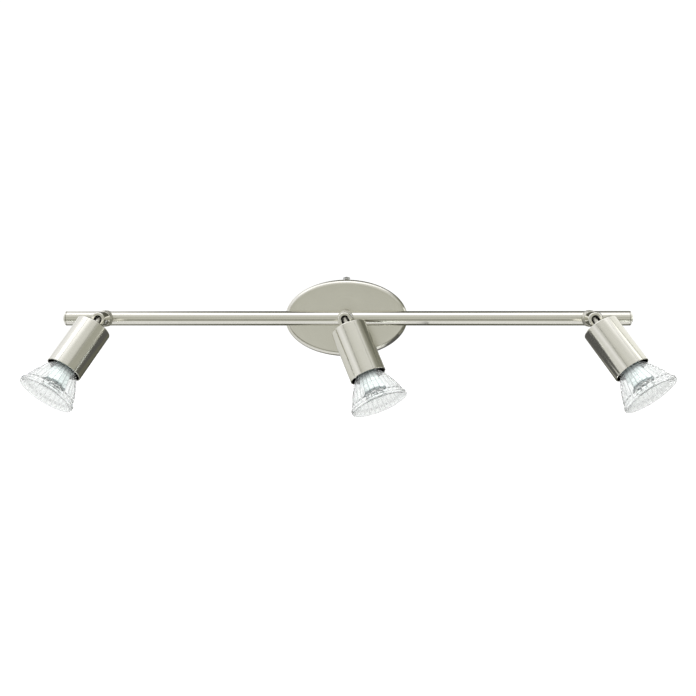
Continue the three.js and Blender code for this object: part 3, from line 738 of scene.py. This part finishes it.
# ---- the wall side ----
class BARLIGHT_OT_canopy(bpy.types.Operator):
    """Make the oval canopy and its two side screws"""

    bl_idname = "barlight.canopy"
    bl_label = "Canopy"

    def execute(self, context):
        sizes = sizes_of(context)
        low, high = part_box("canopy")
        depth, half_height = -low.y / MM, high.z / MM
        shell = self.pressed(high.x / MM, half_height, depth, sizes.canopy_shoulder / MM)
        bmesh.ops.solidify(shell, geom=shell.faces[:], thickness=sizes.canopy_wall / MM)
        low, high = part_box("canopy_screw_top")
        screw_out = -(low.y + high.y) / 2 / MM
        holes = []
        for middle in (half_height, -half_height):
            hole = along_y(rod(SIDE_SCREW_HOLE, middle - 5, middle + 5))
            holes.append(moved(hole, z=screw_out))
        finished("canopy_shell", cut(shell, *holes), WALL, "fixture", "satin_nickel", "canopy",
                 ["spun_nickel"])
        self.screws(half_height, screw_out, (high.z - low.z) / MM)
        return {"FINISHED"}

    def pressed(self, half_width, half_height, depth, shoulder):
        """The oval sheet: open at the wall, with a hole for the nipple in its face."""
        bm = bmesh.new()
        bmesh.ops.create_circle(bm, cap_ends=True, segments=OVAL_STEPS, radius=1)
        bmesh.ops.scale(bm, vec=(half_width, half_height, 1), verts=bm.verts[:])
        raised = bmesh.ops.extrude_face_region(bm, geom=bm.faces[:])["geom"]
        front = [item for item in raised if isinstance(item, bmesh.types.BMVert)]
        bmesh.ops.translate(bm, vec=(0, 0, depth), verts=front)
        tidy(bm)
        front_edges = [e for e in bm.edges if all(v.co.z > depth - WELD for v in e.verts)]
        bmesh.ops.bevel(
            bm, geom=front_edges, offset=shoulder, offset_type="OFFSET", affect="EDGES",
            segments=10, profile=0.5, material=-1,
        )
        caps = [face for face in bm.faces if len(face.verts) == OVAL_STEPS]
        front_cap = max(caps, key=lambda face: face.calc_center_median().z)
        rim = list(front_cap.edges)
        bmesh.ops.delete(bm, geom=caps, context="FACES_ONLY")
        hole_radius = measure("bar_nipple", WALL)[0] + GAP
        at_front = Matrix.Translation((0, 0, depth))
        hole = bmesh.ops.create_circle(bm, segments=OVAL_STEPS, radius=hole_radius, matrix=at_front)
        hole_edges = [e for e in bm.edges if all(v in set(hole["verts"]) for v in e.verts)]
        bridged = bmesh.ops.bridge_loops(bm, edges=rim + hole_edges)
        across = [e for e in bridged["edges"] if e not in set(rim)]
        bmesh.ops.subdivide_edges(bm, edges=across, cuts=6)
        bmesh.ops.recalc_face_normals(bm, faces=bm.faces[:])
        if sum(face.normal.z for face in bm.faces) < 0:
            bmesh.ops.reverse_faces(bm, faces=bm.faces[:])
        return bm

    def screws(self, half_height, screw_out, whole_length):
        head_height = 2.6
        for end, name in ((1, "top"), (-1, "bottom")):
            screw = slotted_screw(
                head=3.3,
                head_height=head_height,
                shank=1.65,
                length=whole_length - head_height,
                slot=0.9,
                dome=0.9,
            )
            moved(screw, z=half_height + GAP)
            turned_to(screw, -math.pi / 2 * end, "X")
            moved(screw, z=screw_out)
            finished("side_screw_" + name, screw, WALL, "fixture", "satin_nickel",
                     "canopy_screw_" + name, ["screw_steel"])


class BARLIGHT_OT_wall_bracket(bpy.types.Operator):
    """Make the wall bracket, the terminal block, the leads and their fastenings"""

    bl_idname = "barlight.wall_bracket"
    bl_label = "Wall Bracket and Wiring"

    def execute(self, context):
        edge = sizes_of(context).edge_round / MM
        plans = [
            ("mounting_bracket", "wall_bracket", "zinc_plate", edge),
            ("terminal_block", "terminal_body", "terminal_plastic", edge),
            ("earth_screw", "earth_clamp", "brass", edge * 0.6),
            ("nipple_nut", "lock_nut", "zinc_plate", edge),
        ]
        for source, name, slot, rounding in plans:
            finished(name, cad_copy(source, WALL), WALL, "fixture", slot, source, edges=rounding)
        self.threaded_nipple()
        self.clamp_screws()
        for spot in SPOTS:
            sleeve = cad_copy("lead_" + spot, WALL)
            finished("sleeve_" + spot, sleeve, WALL, "fixture", "lead_insulation",
                     "lead_" + spot, level=1)
        return {"FINISHED"}

    def threaded_nipple(self):
        """The tube that joins canopy and bar, with its thread as shallow rings."""
        radius, low, high = measure("bar_nipple", WALL)
        bore, root, pitch = 2.8, radius - 0.35, 0.75
        outline = [(bore, low), (radius - 0.3, low)]
        turn = low + 0.5
        while turn < high - 0.5:
            outline += [(root, turn), (radius, turn + 0.35), (root, turn + 0.7)]
            turn += pitch
        outline += [(radius - 0.3, high), (bore, high)]
        finished("threaded_nipple", turned(outline, SMALL_STEPS, True), WALL, "fixture",
                 "zinc_plate", "bar_nipple")

    def clamp_screws(self):
        """The three clamp screws in the wells of the terminal block."""
        low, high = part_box("terminal_block")
        well_floor = -low.y / MM - 2
        pole_pitch = 6.6
        screws = []
        for pole in (-1, 0, 1):
            screw = slotted_screw(
                head=1.6, head_height=1.2, shank=1.0, length=0.8, slot=0.5, dome=0.2
            )
            turned_to(screw, 0.5 + pole, "Z")
            moved(screw, x=pole * pole_pitch, y=(low.z + high.z) / 2 / MM, z=well_floor + 0.85)
            screws.append(screw)
        finished("clamp_screws", joined(*screws), WALL, "fixture", "brass")


# ---- the bar ----
class BARLIGHT_OT_bar(bpy.types.Operator):
    """Make the bar, its end caps, its collar and the bases of the swivels"""

    bl_idname = "barlight.bar"
    bl_label = "Bar"

    def execute(self, context):
        sizes = sizes_of(context)
        low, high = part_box("bar")
        radius, half = (high.z - low.z) / 2 / MM, (high.x - low.x) / 2 / MM
        wall = sizes.bar_wall / MM
        tube = ring(radius - wall, radius, -half, half, 0.1)
        tools = [along_x(rod(NIPPLE_BORE, -radius - 2, -2))]
        for spot in SPOTS:
            at = base_place(spot).translation.x / MM
            tools.append(moved(along_x(rod(SWIVEL_BORE, 2, radius + 2)), z=at))
        finished("bar_tube", cut(tube, *tools), ALONG_BAR, "fixture", "satin_nickel", "bar")
        self.end_caps(radius, half, wall)
        self.collar(radius)
        self.bases(radius)
        return {"FINISHED"}

    def end_caps(self, radius, half, wall):
        plug = radius - wall - GAP
        for side, name in ((-1, "left"), (1, "right")):
            low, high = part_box("end_cap_" + name)
            tip = abs(low.x if side < 0 else high.x) / MM
            corners = [
                (0, half - 6, 0),
                (plug, half - 6, 0.5),
                (plug, half + GAP, 0),
                (radius, half + GAP, 0.1),
                (radius, tip - 1.75, 0.65),
                (3.9, tip - 1.5, 0.3),
                (3.6, tip - 0.25, 0.7),
                (0, tip, 0),
            ]
            place = ALONG_BAR if side > 0 else ALONG_BAR @ Matrix.Rotation(math.pi, 4, "X")
            finished("end_plug_" + name, turned(rounded(corners)), place, "fixture",
                     "satin_nickel", "end_cap_" + name)

    def saddle(self, bar_radius):
        """What is cut away from a piece that sits on the bar."""
        return along_x(rod(bar_radius + GAP, -20, 20, ROUND_STEPS))

    def collar(self, bar_radius):
        radius, back, front = measure("bar_collar", WALL)
        saddle = moved(self.saddle(bar_radius), z=-BAR_MIDDLE.y / MM)
        collar = cut(ring(NIPPLE_BORE, radius, back, front + 0.01, 0.3), saddle)
        finished("collar", collar, WALL, "fixture", "satin_nickel", "bar_collar")

    def bases(self, bar_radius):
        for spot in SPOTS:
            place = base_place(spot)
            radius, _, top = measure("swivel_base_" + spot, place)
            corners = [
                (SWIVEL_BORE, 2, 0),
                (radius, 2, 0),
                (radius, bar_radius + 0.9, 0.5),
                (6.3, top - 0.2, 0.35),
                (5.7, top, 0.1),
                (SWIVEL_BORE, top, 0),
            ]
            cone = cut(hollow(corners), self.saddle(bar_radius))
            finished("saddle_cone_" + spot, cone, place, "fixture", "satin_nickel",
                     "swivel_base_" + spot, ["soft_nickel"])


# ---- the swivels ----
class BARLIGHT_OT_swivels(bpy.types.Operator):
    """Make the forked knuckles with their pivot screws and nuts"""

    bl_idname = "barlight.swivels"
    bl_label = "Swivels"

    def execute(self, context):
        edge = sizes_of(context).edge_round / MM
        for spot in SPOTS:
            place = swivel_place(spot)
            body = "swivel_" + spot
            pivot = (place.inverted() @ Vector(JOINTS["tilt_" + spot]["pos_m"])).z / MM
            finished("fork_" + spot, self.fork(spot, place, pivot), place, body, "satin_nickel",
                     "knuckle_" + spot, ["bright_nickel", "dark_and_shaded_inside"], edges=edge * 0.8)
            screw = slotted_screw(
                head=2.6, head_height=1.1, shank=1.5, length=12.4, slot=0.7, dome=0.3
            )
            moved(turned_to(moved(screw, z=6.4), math.pi / 2, "Y"), z=pivot)
            finished("pivot_pin_" + spot, screw, place, body, "screw_steel", "pivot_screw_" + spot)
            finished("stub_nut_" + spot, cad_copy("swivel_nut_" + spot, place), place, body,
                     "zinc_plate", "swivel_nut_" + spot, edges=edge * 0.6)
        return {"FINISHED"}

    def fork(self, spot, place, pivot):
        """A turned knuckle on its stub, with a slot from its front and below for the tongue."""
        radius, stub_end, front = measure("knuckle_" + spot, place)
        back, bore, stub = 11.3, 2.0, 3.0
        corners = [
            (bore, stub_end, 0),
            (stub, stub_end, 0.2),
            (stub, back, 0),
            (radius, back, 0.7),
            (radius, front, 1.5),
            (bore, front, 0),
        ]
        slot_half, floor = 3.5, pivot - 3.6
        arch = rod(slot_half, floor, front + 1)
        mouth = block((-slot_half, -radius - 2, floor), (slot_half, 0, front + 1))
        slot = carved(arch, "UNION", mouth)
        pivot_hole = moved(along_x(rod(PIVOT_HOLE, -radius - 1, radius + 1)), z=pivot)
        body = cut(hollow(corners), slot, pivot_hole)
        # The slot's faces take the second look: painted shade, near black, where the slot's recess
        # stands in shade.
        near = 0.05
        for face in body.faces:
            centre = face.calc_center_median()
            in_arch = centre.xy.length < slot_half + near
            in_mouth = centre.y < 0 and abs(centre.x) < slot_half + near
            if (in_arch or in_mouth) and floor - near < centre.z < front - near:
                face.material_index = 1
        return body


# ---- the heads ----
class BARLIGHT_OT_heads(bpy.types.Operator):
    """Make the cups with their tongues, straps and lampholders"""

    bl_idname = "barlight.heads"
    bl_label = "Heads"

    def execute(self, context):
        sizes = sizes_of(context)
        edge = sizes.edge_round / MM
        for spot in SPOTS:
            place = head_place(spot)
            body = "head_" + spot
            finished("cup_shell_" + spot, self.cup(spot, place, sizes), place, body,
                     "satin_nickel", "cup_" + spot, ["satin_nickel", "dark_and_shaded_inside"])
            finished("hinge_tongue_" + spot, self.tongue(spot, place), place, body,
                     "satin_nickel", "tongue_" + spot, ["soft_nickel"])
            plans = [
                ("tail_nut_", "lock_nut_", "zinc_plate", edge),
                ("holder_strap_", "strap_", "zinc_plate", edge * 0.8),
                ("lampholder_", "holder_", "ceramic", edge * 1.5),
            ]
            for source, name, slot, rounding in plans:
                finished(name + spot, cad_copy(source + spot, place), place, body, slot,
                         source + spot, edges=rounding)
        return {"FINISHED"}

    def cup(self, spot, place, sizes):
        """A drawn can: closed behind but for the tongue's hole, open in front, near black inside:
        partly its own dark finish, partly painted shade.
        """
        radius, back, front = measure("cup_" + spot, place)
        wall, edge = sizes.cup_wall / MM, sizes.cup_edge / MM
        hole = 2.8
        corners = [
            (hole, back, 0),
            (radius, back, edge),
            (radius, front, 0.3),
            (radius - wall, front, 0.2),
            (radius - wall, back + wall, max(0.2, edge - wall)),
            (hole, back + wall, 0),
        ]
        shell = hollow(corners, CUP_STEPS)
        # The inside faces take the second look: near black, partly the cup's own dark finish,
        # partly painted shade.
        for face in shell.faces:
            centre = face.calc_center_median()
            if centre.xy.length < radius - wall * 0.6 and centre.z > back + wall * 0.6:
                face.material_index = 1
        return shell

    def tongue(self, spot, place):
        """A round-ended lug with a tail that goes through the cup's back."""
        radius, _, tail_end = measure("tongue_" + spot, place)
        radius += 0.25
        tail = 2.5
        shoulder = measure("cup_" + spot, place)[1] - GAP
        outline = [(radius * math.sin(a), -radius * math.cos(a)) for a in arc(0, math.pi / 2, 10)]
        corners = [
            (radius, 0, 0),
            (radius, shoulder, 0.3),
            (tail, shoulder, 0),
            (tail, tail_end, 0.4),
            (0, tail_end, 0),
        ]
        outline += rounded(corners)[1:]
        hole = along_x(rod(PIVOT_HOLE, -radius - 1, radius + 1))
        return cut(turned(outline, SMALL_STEPS), hole)


def arc(start, end, steps):
    return [start + (end - start) * i / steps for i in range(steps + 1)]


# ---- the lamps ----
class BARLIGHT_OT_lamps(bpy.types.Operator):
    """Make the lamps: base, driver, capsule, light board, fluted bowl and domed front"""

    bl_idname = "barlight.lamps"
    bl_label = "Lamps"

    def execute(self, context):
        sizes = sizes_of(context)
        edge = sizes.edge_round / MM
        for spot in SPOTS:
            place = head_place(spot)
            body = "lamp_" + spot
            finished("base_" + spot, self.base(spot, place), place, body, "lamp_plastic",
                     "lamp_base_" + spot)
            finished("driver_" + spot, cad_copy("lamp_driver_" + spot, place), place, body,
                     "brass", "lamp_driver_" + spot, edges=edge * 0.6)
            finished("capsule_" + spot, self.capsule(spot, place), place, body, "capsule_white",
                     "lamp_capsule_" + spot)
            finished("light_board_" + spot, self.board(spot, place, sizes), place, body,
                     "board_green", "lamp_board_" + spot,
                     ["board_green", "lamp_plastic", "phosphor"])
            finished("lenslets_" + spot, self.lenslets(spot, place, sizes), place, body,
                     "clear_glass", looks=["lenslet_glass"])
            finished("bowl_" + spot, self.bowl(spot, place, sizes), place, body, "clear_glass",
                     "lamp_bowl_" + spot)
            finished("front_glass_" + spot, self.front(spot, place), place, body, "clear_glass",
                     "lamp_lens_" + spot, ["front_glass"])
        return {"FINISHED"}

    def base(self, spot, place):
        radius, back, front = measure("lamp_base_" + spot, place)
        wall = 1.2
        corners = [
            (0, back, 0),
            (radius - 1.2, back, 0.8),
            (radius - 0.8, back + 4, 0.4),
            (radius, back + 5, 0.4),
            (radius, front, 0.3),
            (radius - wall, front, 0.3),
            (radius - wall - 0.4, back + wall, 0.5),
            (0, back + wall, 0),
        ]
        half_pitch = 5  # from one contact pin to the other is 10 mm
        holes = [moved(rod(PIN_HOLE, back - 1, back + 3), x=side * half_pitch) for side in (-1, 1)]
        return cut(turned(rounded(corners)), *holes)

    def capsule(self, spot, place):
        radius, back, front = measure("lamp_capsule_" + spot, place)
        wall = 1.3
        corners = [
            (0, front, 0),
            (radius, front, 1.4),
            (radius, back + 9, 0),
            (radius - 0.25, back + 8.6, 0.2),
            (radius - 0.25, back + 7.4, 0.2),
            (radius, back + 7, 0),
            (radius, back, 0.3),
            (radius - wall, back, 0.3),
            (radius - wall, front - wall, 1.0),
            (0, front - wall, 0),
        ]
        return turned(rounded(corners), SMALL_STEPS * 2)

    def chip_angles(self, sizes):
        return [i * 2 * math.pi / sizes.chips for i in range(sizes.chips)]

    def board(self, spot, place, sizes):
        radius, back, top = measure("lamp_board_" + spot, place)
        front = top - 0.8
        corners = [(0, back, 0), (radius, back, 0.1), (radius, front, 0.1), (0, front, 0)]
        parts = [turned(rounded(corners))]
        for angle in self.chip_angles(sizes):
            chip = block((-1.5, CHIP_RING - 1.3, front - 0.01), (1.5, CHIP_RING + 1.3, front + 0.6))
            bmesh.ops.bevel(
                chip, geom=chip.edges[:], offset=0.12, affect="EDGES", segments=2, profile=0.5,
                material=-1,
            )
            gel = moved(rod(0.95, front + 0.61, front + 0.78, TINY_STEPS), y=CHIP_RING)
            for solid, index in ((chip, 1), (gel, 2)):
                for face in solid.faces:
                    face.material_index = index
                parts.append(turned_to(solid, angle, "Z"))
        return joined(*parts)

    def lenslets(self, spot, place, sizes):
        """A clear dome over each light chip."""
        front = measure("lamp_board_" + spot, place)[2] + 0.15
        radius, height = 2.35, 1.4
        outline = [(0, front), (radius, front), (radius, front + height * 0.5)]
        outline += [
            (radius * math.cos(a), front + height + radius * math.sin(a))
            for a in arc(0, math.pi / 2, 8)
        ]
        domes = []
        for angle in self.chip_angles(sizes):
            dome = moved(turned(outline, TINY_STEPS), y=CHIP_RING)
            domes.append(turned_to(dome, angle, "Z"))
        return joined(*domes)

    def bowl(self, spot, place, sizes):
        """The pressed reflector: flutes run down its outside, and prisms ring its rim."""
        rim, back, front = measure("lamp_bowl_" + spot, place)
        wall, depth = sizes.glass_wall / MM, sizes.flute_depth / MM
        prism_depth, prism_reach = 0.6, 1.8
        fade = 5  # the length over which the flutes deepen
        stations = [back] + arc(BOWL_NECK_FRONT, front - 1.4, 18)

        def reach(out):
            return math.sqrt(BOWL_NECK**2 + BOWL_GROWTH * max(0.0, out - BOWL_NECK_FRONT))

        outside = [(reach(out), out) for out in stations]
        lip = front - 1.1
        band = rounded([(0, lip, 0), (rim, lip, 0.3), (rim, front, 0.3), (rim - 2.2, front, 0)])
        inside = [(reach(out) - wall, out) for out in reversed(stations)]
        bm = turned(outside + band[1:] + inside, sizes.flutes * 8, True)
        for vertex in bm.verts:
            radius = vertex.co.xy.length
            out = vertex.co.z
            if radius < reach(out) - wall / 2 or not BOWL_NECK_FRONT < out < front - 1.3:
                continue
            angle = math.atan2(vertex.co.y, vertex.co.x)
            share = min(1.0, (out - BOWL_NECK_FRONT) / fade)
            prism = max(0.0, 1 - abs(out - (front - PRISM_ROW)) / prism_reach)
            groove = (1 - abs(math.sin(angle * sizes.flutes / 2))) * depth * share
            facet = (0.5 - 0.5 * math.cos(angle * sizes.flutes)) * prism * prism_depth
            shrink = 1 - (groove + facet) / radius
            vertex.co.x *= shrink
            vertex.co.y *= shrink
        bmesh.ops.recalc_face_normals(bm, faces=bm.faces[:])
        return bm

    def front(self, spot, place):
        """The slightly domed front glass, with a raised rim round it."""
        radius, back, top = measure("lamp_lens_" + spot, place)
        edge = top - 1.0
        thickness, rise = 1.3, 0.8

        def dome(r):
            return edge + 0.2 + rise * (1 - (r / radius) ** 2)

        outer = [(r, dome(r)) for r in arc(radius - 2.6, 0, 10)]
        inner = [(r, dome(r) - thickness) for r in arc(0, radius - 3.0, 10)]
        rim = rounded(
            [
                (radius - 3.0, back, 0),
                (radius, back, 0.25),
                (radius, edge, 0.5),
                (radius - 1.6, edge, 0.4),
                (radius - 2.2, edge - 0.15, 0),
            ]
        )
        return turned(inner + rim + outer)


# ---- the stage ----
# How bright the studio is by height, from straight down to straight up, as (degrees above the
# horizon, brightness), in several directions.
BELOW = [(-90, 1.0), (-87, 0.9), (-81, 0.2)]
ABOVE = [(77, 0.25), (84, 1.6), (90, 1.8)]
REAR = [*BELOW, (-60, 0.1), (60, 0.1), *ABOVE]
REAR_LEFT = [*BELOW, (-28, 0.15), (-15, 0.65), (0, 1.0), (12, 1.2), (23, 0.95), (48, 1.0),
             (58, 0.2), *ABOVE]
LEFT = [(-90, 1.0), (-50, 1.0), (-25, 0.8), (-10, 0.88), (0, 0.85), (12, 1.1), (20, 0.85),
        (30, 1.1), (46, 1.15), (50, 1.7), (62, 1.7), (90, 1.7)]
AHEAD = [(-90, 1.0), (-50, 1.0), (-38, 0.75), (-28, 0.28), (-20, 0.28), (-12, 0.7), (-5, 0.76),
         (0, 0.6), (8, 0.58), (22, 0.66), (40, 0.84), (56, 0.84), (63, 1.8), (90, 1.8)]
RIGHT_AHEAD = [(-90, 1.0), (-50, 0.9), (-38, 0.5), (-28, 0.2), (-8, 0.2), (0, 0.47), (25, 0.46),
               (33, 0.74), (52, 0.85), (62, 1.5), (90, 1.7)]
RIGHT = [(-90, 1.0), (-50, 0.9), (-38, 0.3), (-28, 0.15), (-6, 0.15), (0, 0.5), (25, 0.48),
         (33, 0.33), (50, 0.35), (62, 1.3), (90, 1.7)]
RIGHT_BEHIND = [(-90, 1.0), (-60, 0.8), (-45, 0.16), (-6, 0.16), (0, 0.3), (10, 0.3), (20, 0.18),
                (42, 0.18), (60, 1.2), (90, 1.7)]
REAR_RIGHT = [*BELOW, (-50, 0.15), (-5, 0.15), (0, 0.45), (10, 0.4), (16, 0.18), (60, 0.2), *ABOVE]
# Those directions, in degrees to the right of straight ahead.
STUDIO = [(-180, REAR), (-168, REAR), (-158, REAR_LEFT), (-110, LEFT), (-55, LEFT), (-36, AHEAD),
          (36, AHEAD), (58, RIGHT_AHEAD), (85, RIGHT), (110, RIGHT_BEHIND), (158, REAR_RIGHT),
          (168, REAR), (180, REAR)]
# Upright strips in it: their direction, half their width and what they do to the light there.
STRIPS = [(-93, 1.6, 0.55), (-43, 2.2, 0.45), (48, 2.0, 0.5), (104, 1.2, 2.4)]
# Cards that the right spot mirrors: middle, size and brightness. They stand across the bar.
CARDS = [
    ((0.325, -0.097, 0.055), (0.036, 0.17), 1.7),
    ((0.325, 0.041, 0.05), (0.218, 0.16), 1.1),
    ((0.075, 0.165, -0.101), (0.37, 0.138), 0.12),
    ((0.0765, -0.052, -0.072), (0.064, 0.066), 0.12),
]

OVERHEAD_PLACE = (0, -0.6, 2.0)
OVERHEAD_SIZE = (3.0, 2.4)
OVERHEAD_WATTS = 60
SEEN_BRIGHTNESS = 1.05  # of the background, straight from the camera or through glass
CAMERA_PLACE = (0.0282, -0.902, 0.0238)
CAMERA_TURN = (math.pi / 2 - 0.058, 0.001, 0.030)
CAMERA_LENS = 49.92
FLOOR_DEPTH = 0.6
FLOOR_REACH = 9.0


class BARLIGHT_OT_stage(bpy.types.Operator):
    """Set the floor, the studio light and the camera"""

    bl_idname = "barlight.stage"
    bl_label = "Stage"

    def execute(self, context):
        self.floor(context.scene.bar_light_colours)
        self.studio(context)
        self.cards()
        self.lamps(context)
        self.camera(context)
        context.scene.view_settings.view_transform = "Standard"
        return {"FINISHED"}

    def floor(self, colours):
        bm = bmesh.new()
        bmesh.ops.create_grid(bm, x_segments=2, y_segments=2, size=FLOOR_REACH)
        floor = new_object("floor", moved(bm, z=-FLOOR_DEPTH))
        look, tree = new_look("pale floor")
        place = frame_place(tree)
        grain = noise(tree, place, 0.01, 3.0)
        surfaced(
            look, tree, Base_Color=shades(tree, grain, tuple(colours.floor), 0.99, 1.0),
            Roughness=0.9, Emission_Color=(1, 1, 1, 1), Emission_Strength=0.35,
        )
        floor.data.materials.append(look)
        floor.visible_glossy = False

    def studio(self, context):
        """Soft light from all round, brightest overhead and at the left, darker behind."""
        world = bpy.data.worlds.new("studio")
        context.scene.world = world
        world.use_nodes = True
        tree = world.node_tree
        tree.nodes.clear()
        way = node(tree, "TexCoord").outputs["Generated"]
        parts = node(tree, "SeparateXYZ", Vector=way)
        height = maths(tree, "ARCSINE", maths(tree, "MINIMUM", parts.outputs["Z"], 1.0))
        share = node(tree, "MapRange", Value=height, From_Min=-math.pi / 2, From_Max=math.pi / 2)
        forward = maths(tree, "MULTIPLY", parts.outputs["Y"], -1.0)
        turn = maths(tree, "DEGREES", maths(tree, "ARCTAN2", parts.outputs["X"], forward))
        light = self.ramp(tree, share.outputs[0], STUDIO[0][1])
        for (start, _), (stop, table) in zip(STUDIO, STUDIO[1:]):
            along = node(tree, "MapRange", Value=turn, From_Min=start, From_Max=stop)
            there = self.ramp(tree, share.outputs[0], table)
            blend = {"i0": along.outputs[0], "i6": light, "i7": there}
            light = node(tree, "Mix", {"data_type": "RGBA"}, **blend).outputs[2]
        for middle, half, change in STRIPS:
            there = maths(tree, "COMPARE", turn, middle, half)
            change = maths(tree, "MULTIPLY_ADD", there, change - 1, 1.0)
            light = vector_maths(tree, "SCALE", light, (0, 0, 0), (0, 0, 0), change)
        studio = node(tree, "Background", Color=light, Strength=1.0)
        pale = node(tree, "Background", Color=(1, 1, 1, 1), Strength=SEEN_BRIGHTNESS)
        path = node(tree, "LightPath")
        seen, through = path.outputs["Is Camera Ray"], path.outputs["Is Transmission Ray"]
        direct = maths(tree, "MAXIMUM", seen, through)
        both = node(tree, "MixShader", i0=direct, i1=studio.outputs[0], i2=pale.outputs[0])
        output = node(tree, "OutputWorld")
        tree.links.new(both.outputs[0], output.inputs["Surface"])

    def ramp(self, tree, share, table):
        """Brightness by height. The dimmer it is, the warmer."""
        made = node(tree, "ValToRGB", Fac=share)
        stops = made.color_ramp.elements
        for i, (degrees, brightness) in enumerate(table):
            at = (degrees + 90) / 180
            stop = stops[i] if i < 2 else stops.new(at)
            stop.position = at
            blue = brightness * min(1.05, 0.76 + 0.27 * brightness)
            stop.color = (brightness, brightness, blue, 1)
        return made.outputs[0]

    def cards(self):
        """Upright cards that only the metal mirrors."""
        for number, (middle, (wide, high), brightness) in enumerate(CARDS):
            bm = bmesh.new()
            bmesh.ops.create_grid(bm, x_segments=2, y_segments=2, size=0.5)
            bmesh.ops.scale(bm, vec=(high, wide, 1), verts=bm.verts[:])
            turned_to(bm, math.pi / 2, "Y")
            card = new_object("card", moved(bm, *middle))
            look, tree = new_look(f"card {number}")
            glow = noise(tree, frame_place(tree), 0.01)
            strength = spread(tree, glow, brightness * 0.95, brightness * 1.05)
            shader = node(tree, "Emission", Color=(1, 1, 0.985, 1), Strength=strength)
            card.data.materials.append(shown(look, tree, shader.outputs[0]))
            card.visible_camera = False
            card.visible_diffuse = False
            card.visible_transmission = False
            card.visible_shadow = False

    def lamps(self, context):
        """One wide soft light overhead."""
        data = bpy.data.lights.new("overhead", "AREA")
        data.shape = "RECTANGLE"
        data.size, data.size_y = OVERHEAD_SIZE
        data.energy = OVERHEAD_WATTS
        lamp = bpy.data.objects.new("overhead", data)
        lamp.location = OVERHEAD_PLACE
        lamp.visible_glossy = False
        context.scene.collection.objects.link(lamp)

    def camera(self, context):
        data = bpy.data.cameras.new("camera")
        data.lens = CAMERA_LENS
        data.sensor_width = 36
        camera = bpy.data.objects.new("camera", data)
        camera.location = CAMERA_PLACE
        camera.rotation_euler = CAMERA_TURN
        context.scene.collection.objects.link(camera)
        context.scene.camera = camera


# ---- the panel ----
STEPS = ("wall_bracket", "canopy", "bar", "swivels", "heads", "lamps", "stage")


class BARLIGHT_PT_panel(bpy.types.Panel):
    """Sizes, colours and the pieces of the bar light"""

    bl_idname = "BARLIGHT_PT_panel"
    bl_label = "Bar Light"
    bl_space_type = "VIEW_3D"
    bl_region_type = "UI"
    bl_category = "Bar Light"

    def draw(self, context):
        scene = context.scene
        groups = (("Sizes", scene.bar_light_sizes), ("Colours", scene.bar_light_colours))
        for title, group in groups:
            box = self.layout.box()
            box.label(text=title)
            for key in group.__annotations__:
                box.prop(group, key)
        column = self.layout.column(align=True)
        for step in STEPS:
            column.operator("barlight." + step)


CLASSES = (
    BarLightSizes,
    BarLightColours,
    BARLIGHT_OT_wall_bracket,
    BARLIGHT_OT_canopy,
    BARLIGHT_OT_bar,
    BARLIGHT_OT_swivels,
    BARLIGHT_OT_heads,
    BARLIGHT_OT_lamps,
    BARLIGHT_OT_stage,
    BARLIGHT_PT_panel,
)


def register():
    for each in CLASSES:
        bpy.utils.register_class(each)
    bpy.types.Scene.bar_light_sizes = bpy.props.PointerProperty(type=BarLightSizes)
    bpy.types.Scene.bar_light_colours = bpy.props.PointerProperty(type=BarLightColours)


def unregister():
    del bpy.types.Scene.bar_light_colours
    del bpy.types.Scene.bar_light_sizes
    for each in reversed(CLASSES):
        bpy.utils.unregister_class(each)


def finish_cad_nodes(colours):
    """Gives every CAD node its finish too, also where a piece stands for it."""
    hidden = {
        "metal": plain_metal("plain nickel", tuple(colours.nickel), 0.3, frame_place),
        "body": moulded("plain body", tuple(colours.lamp_plastic), 0.4, frame_place),
    }
    metals = ("nickel", "zinc", "steel", "brass")
    for part in frame["nodes"].values():
        for entry in part.material_slots:
            kind = "metal" if any(metal in entry.name for metal in metals) else "body"
            entry.material = hidden[kind]


def main():
    register()
    colours = bpy.context.scene.bar_light_colours
    LOOKS.update(make_looks(colours, bpy.context.scene.bar_light_sizes))
    finish_cad_nodes(colours)
    for step in STEPS:
        getattr(bpy.ops.barlight, step)()


if __name__ == "__main__":
    main()
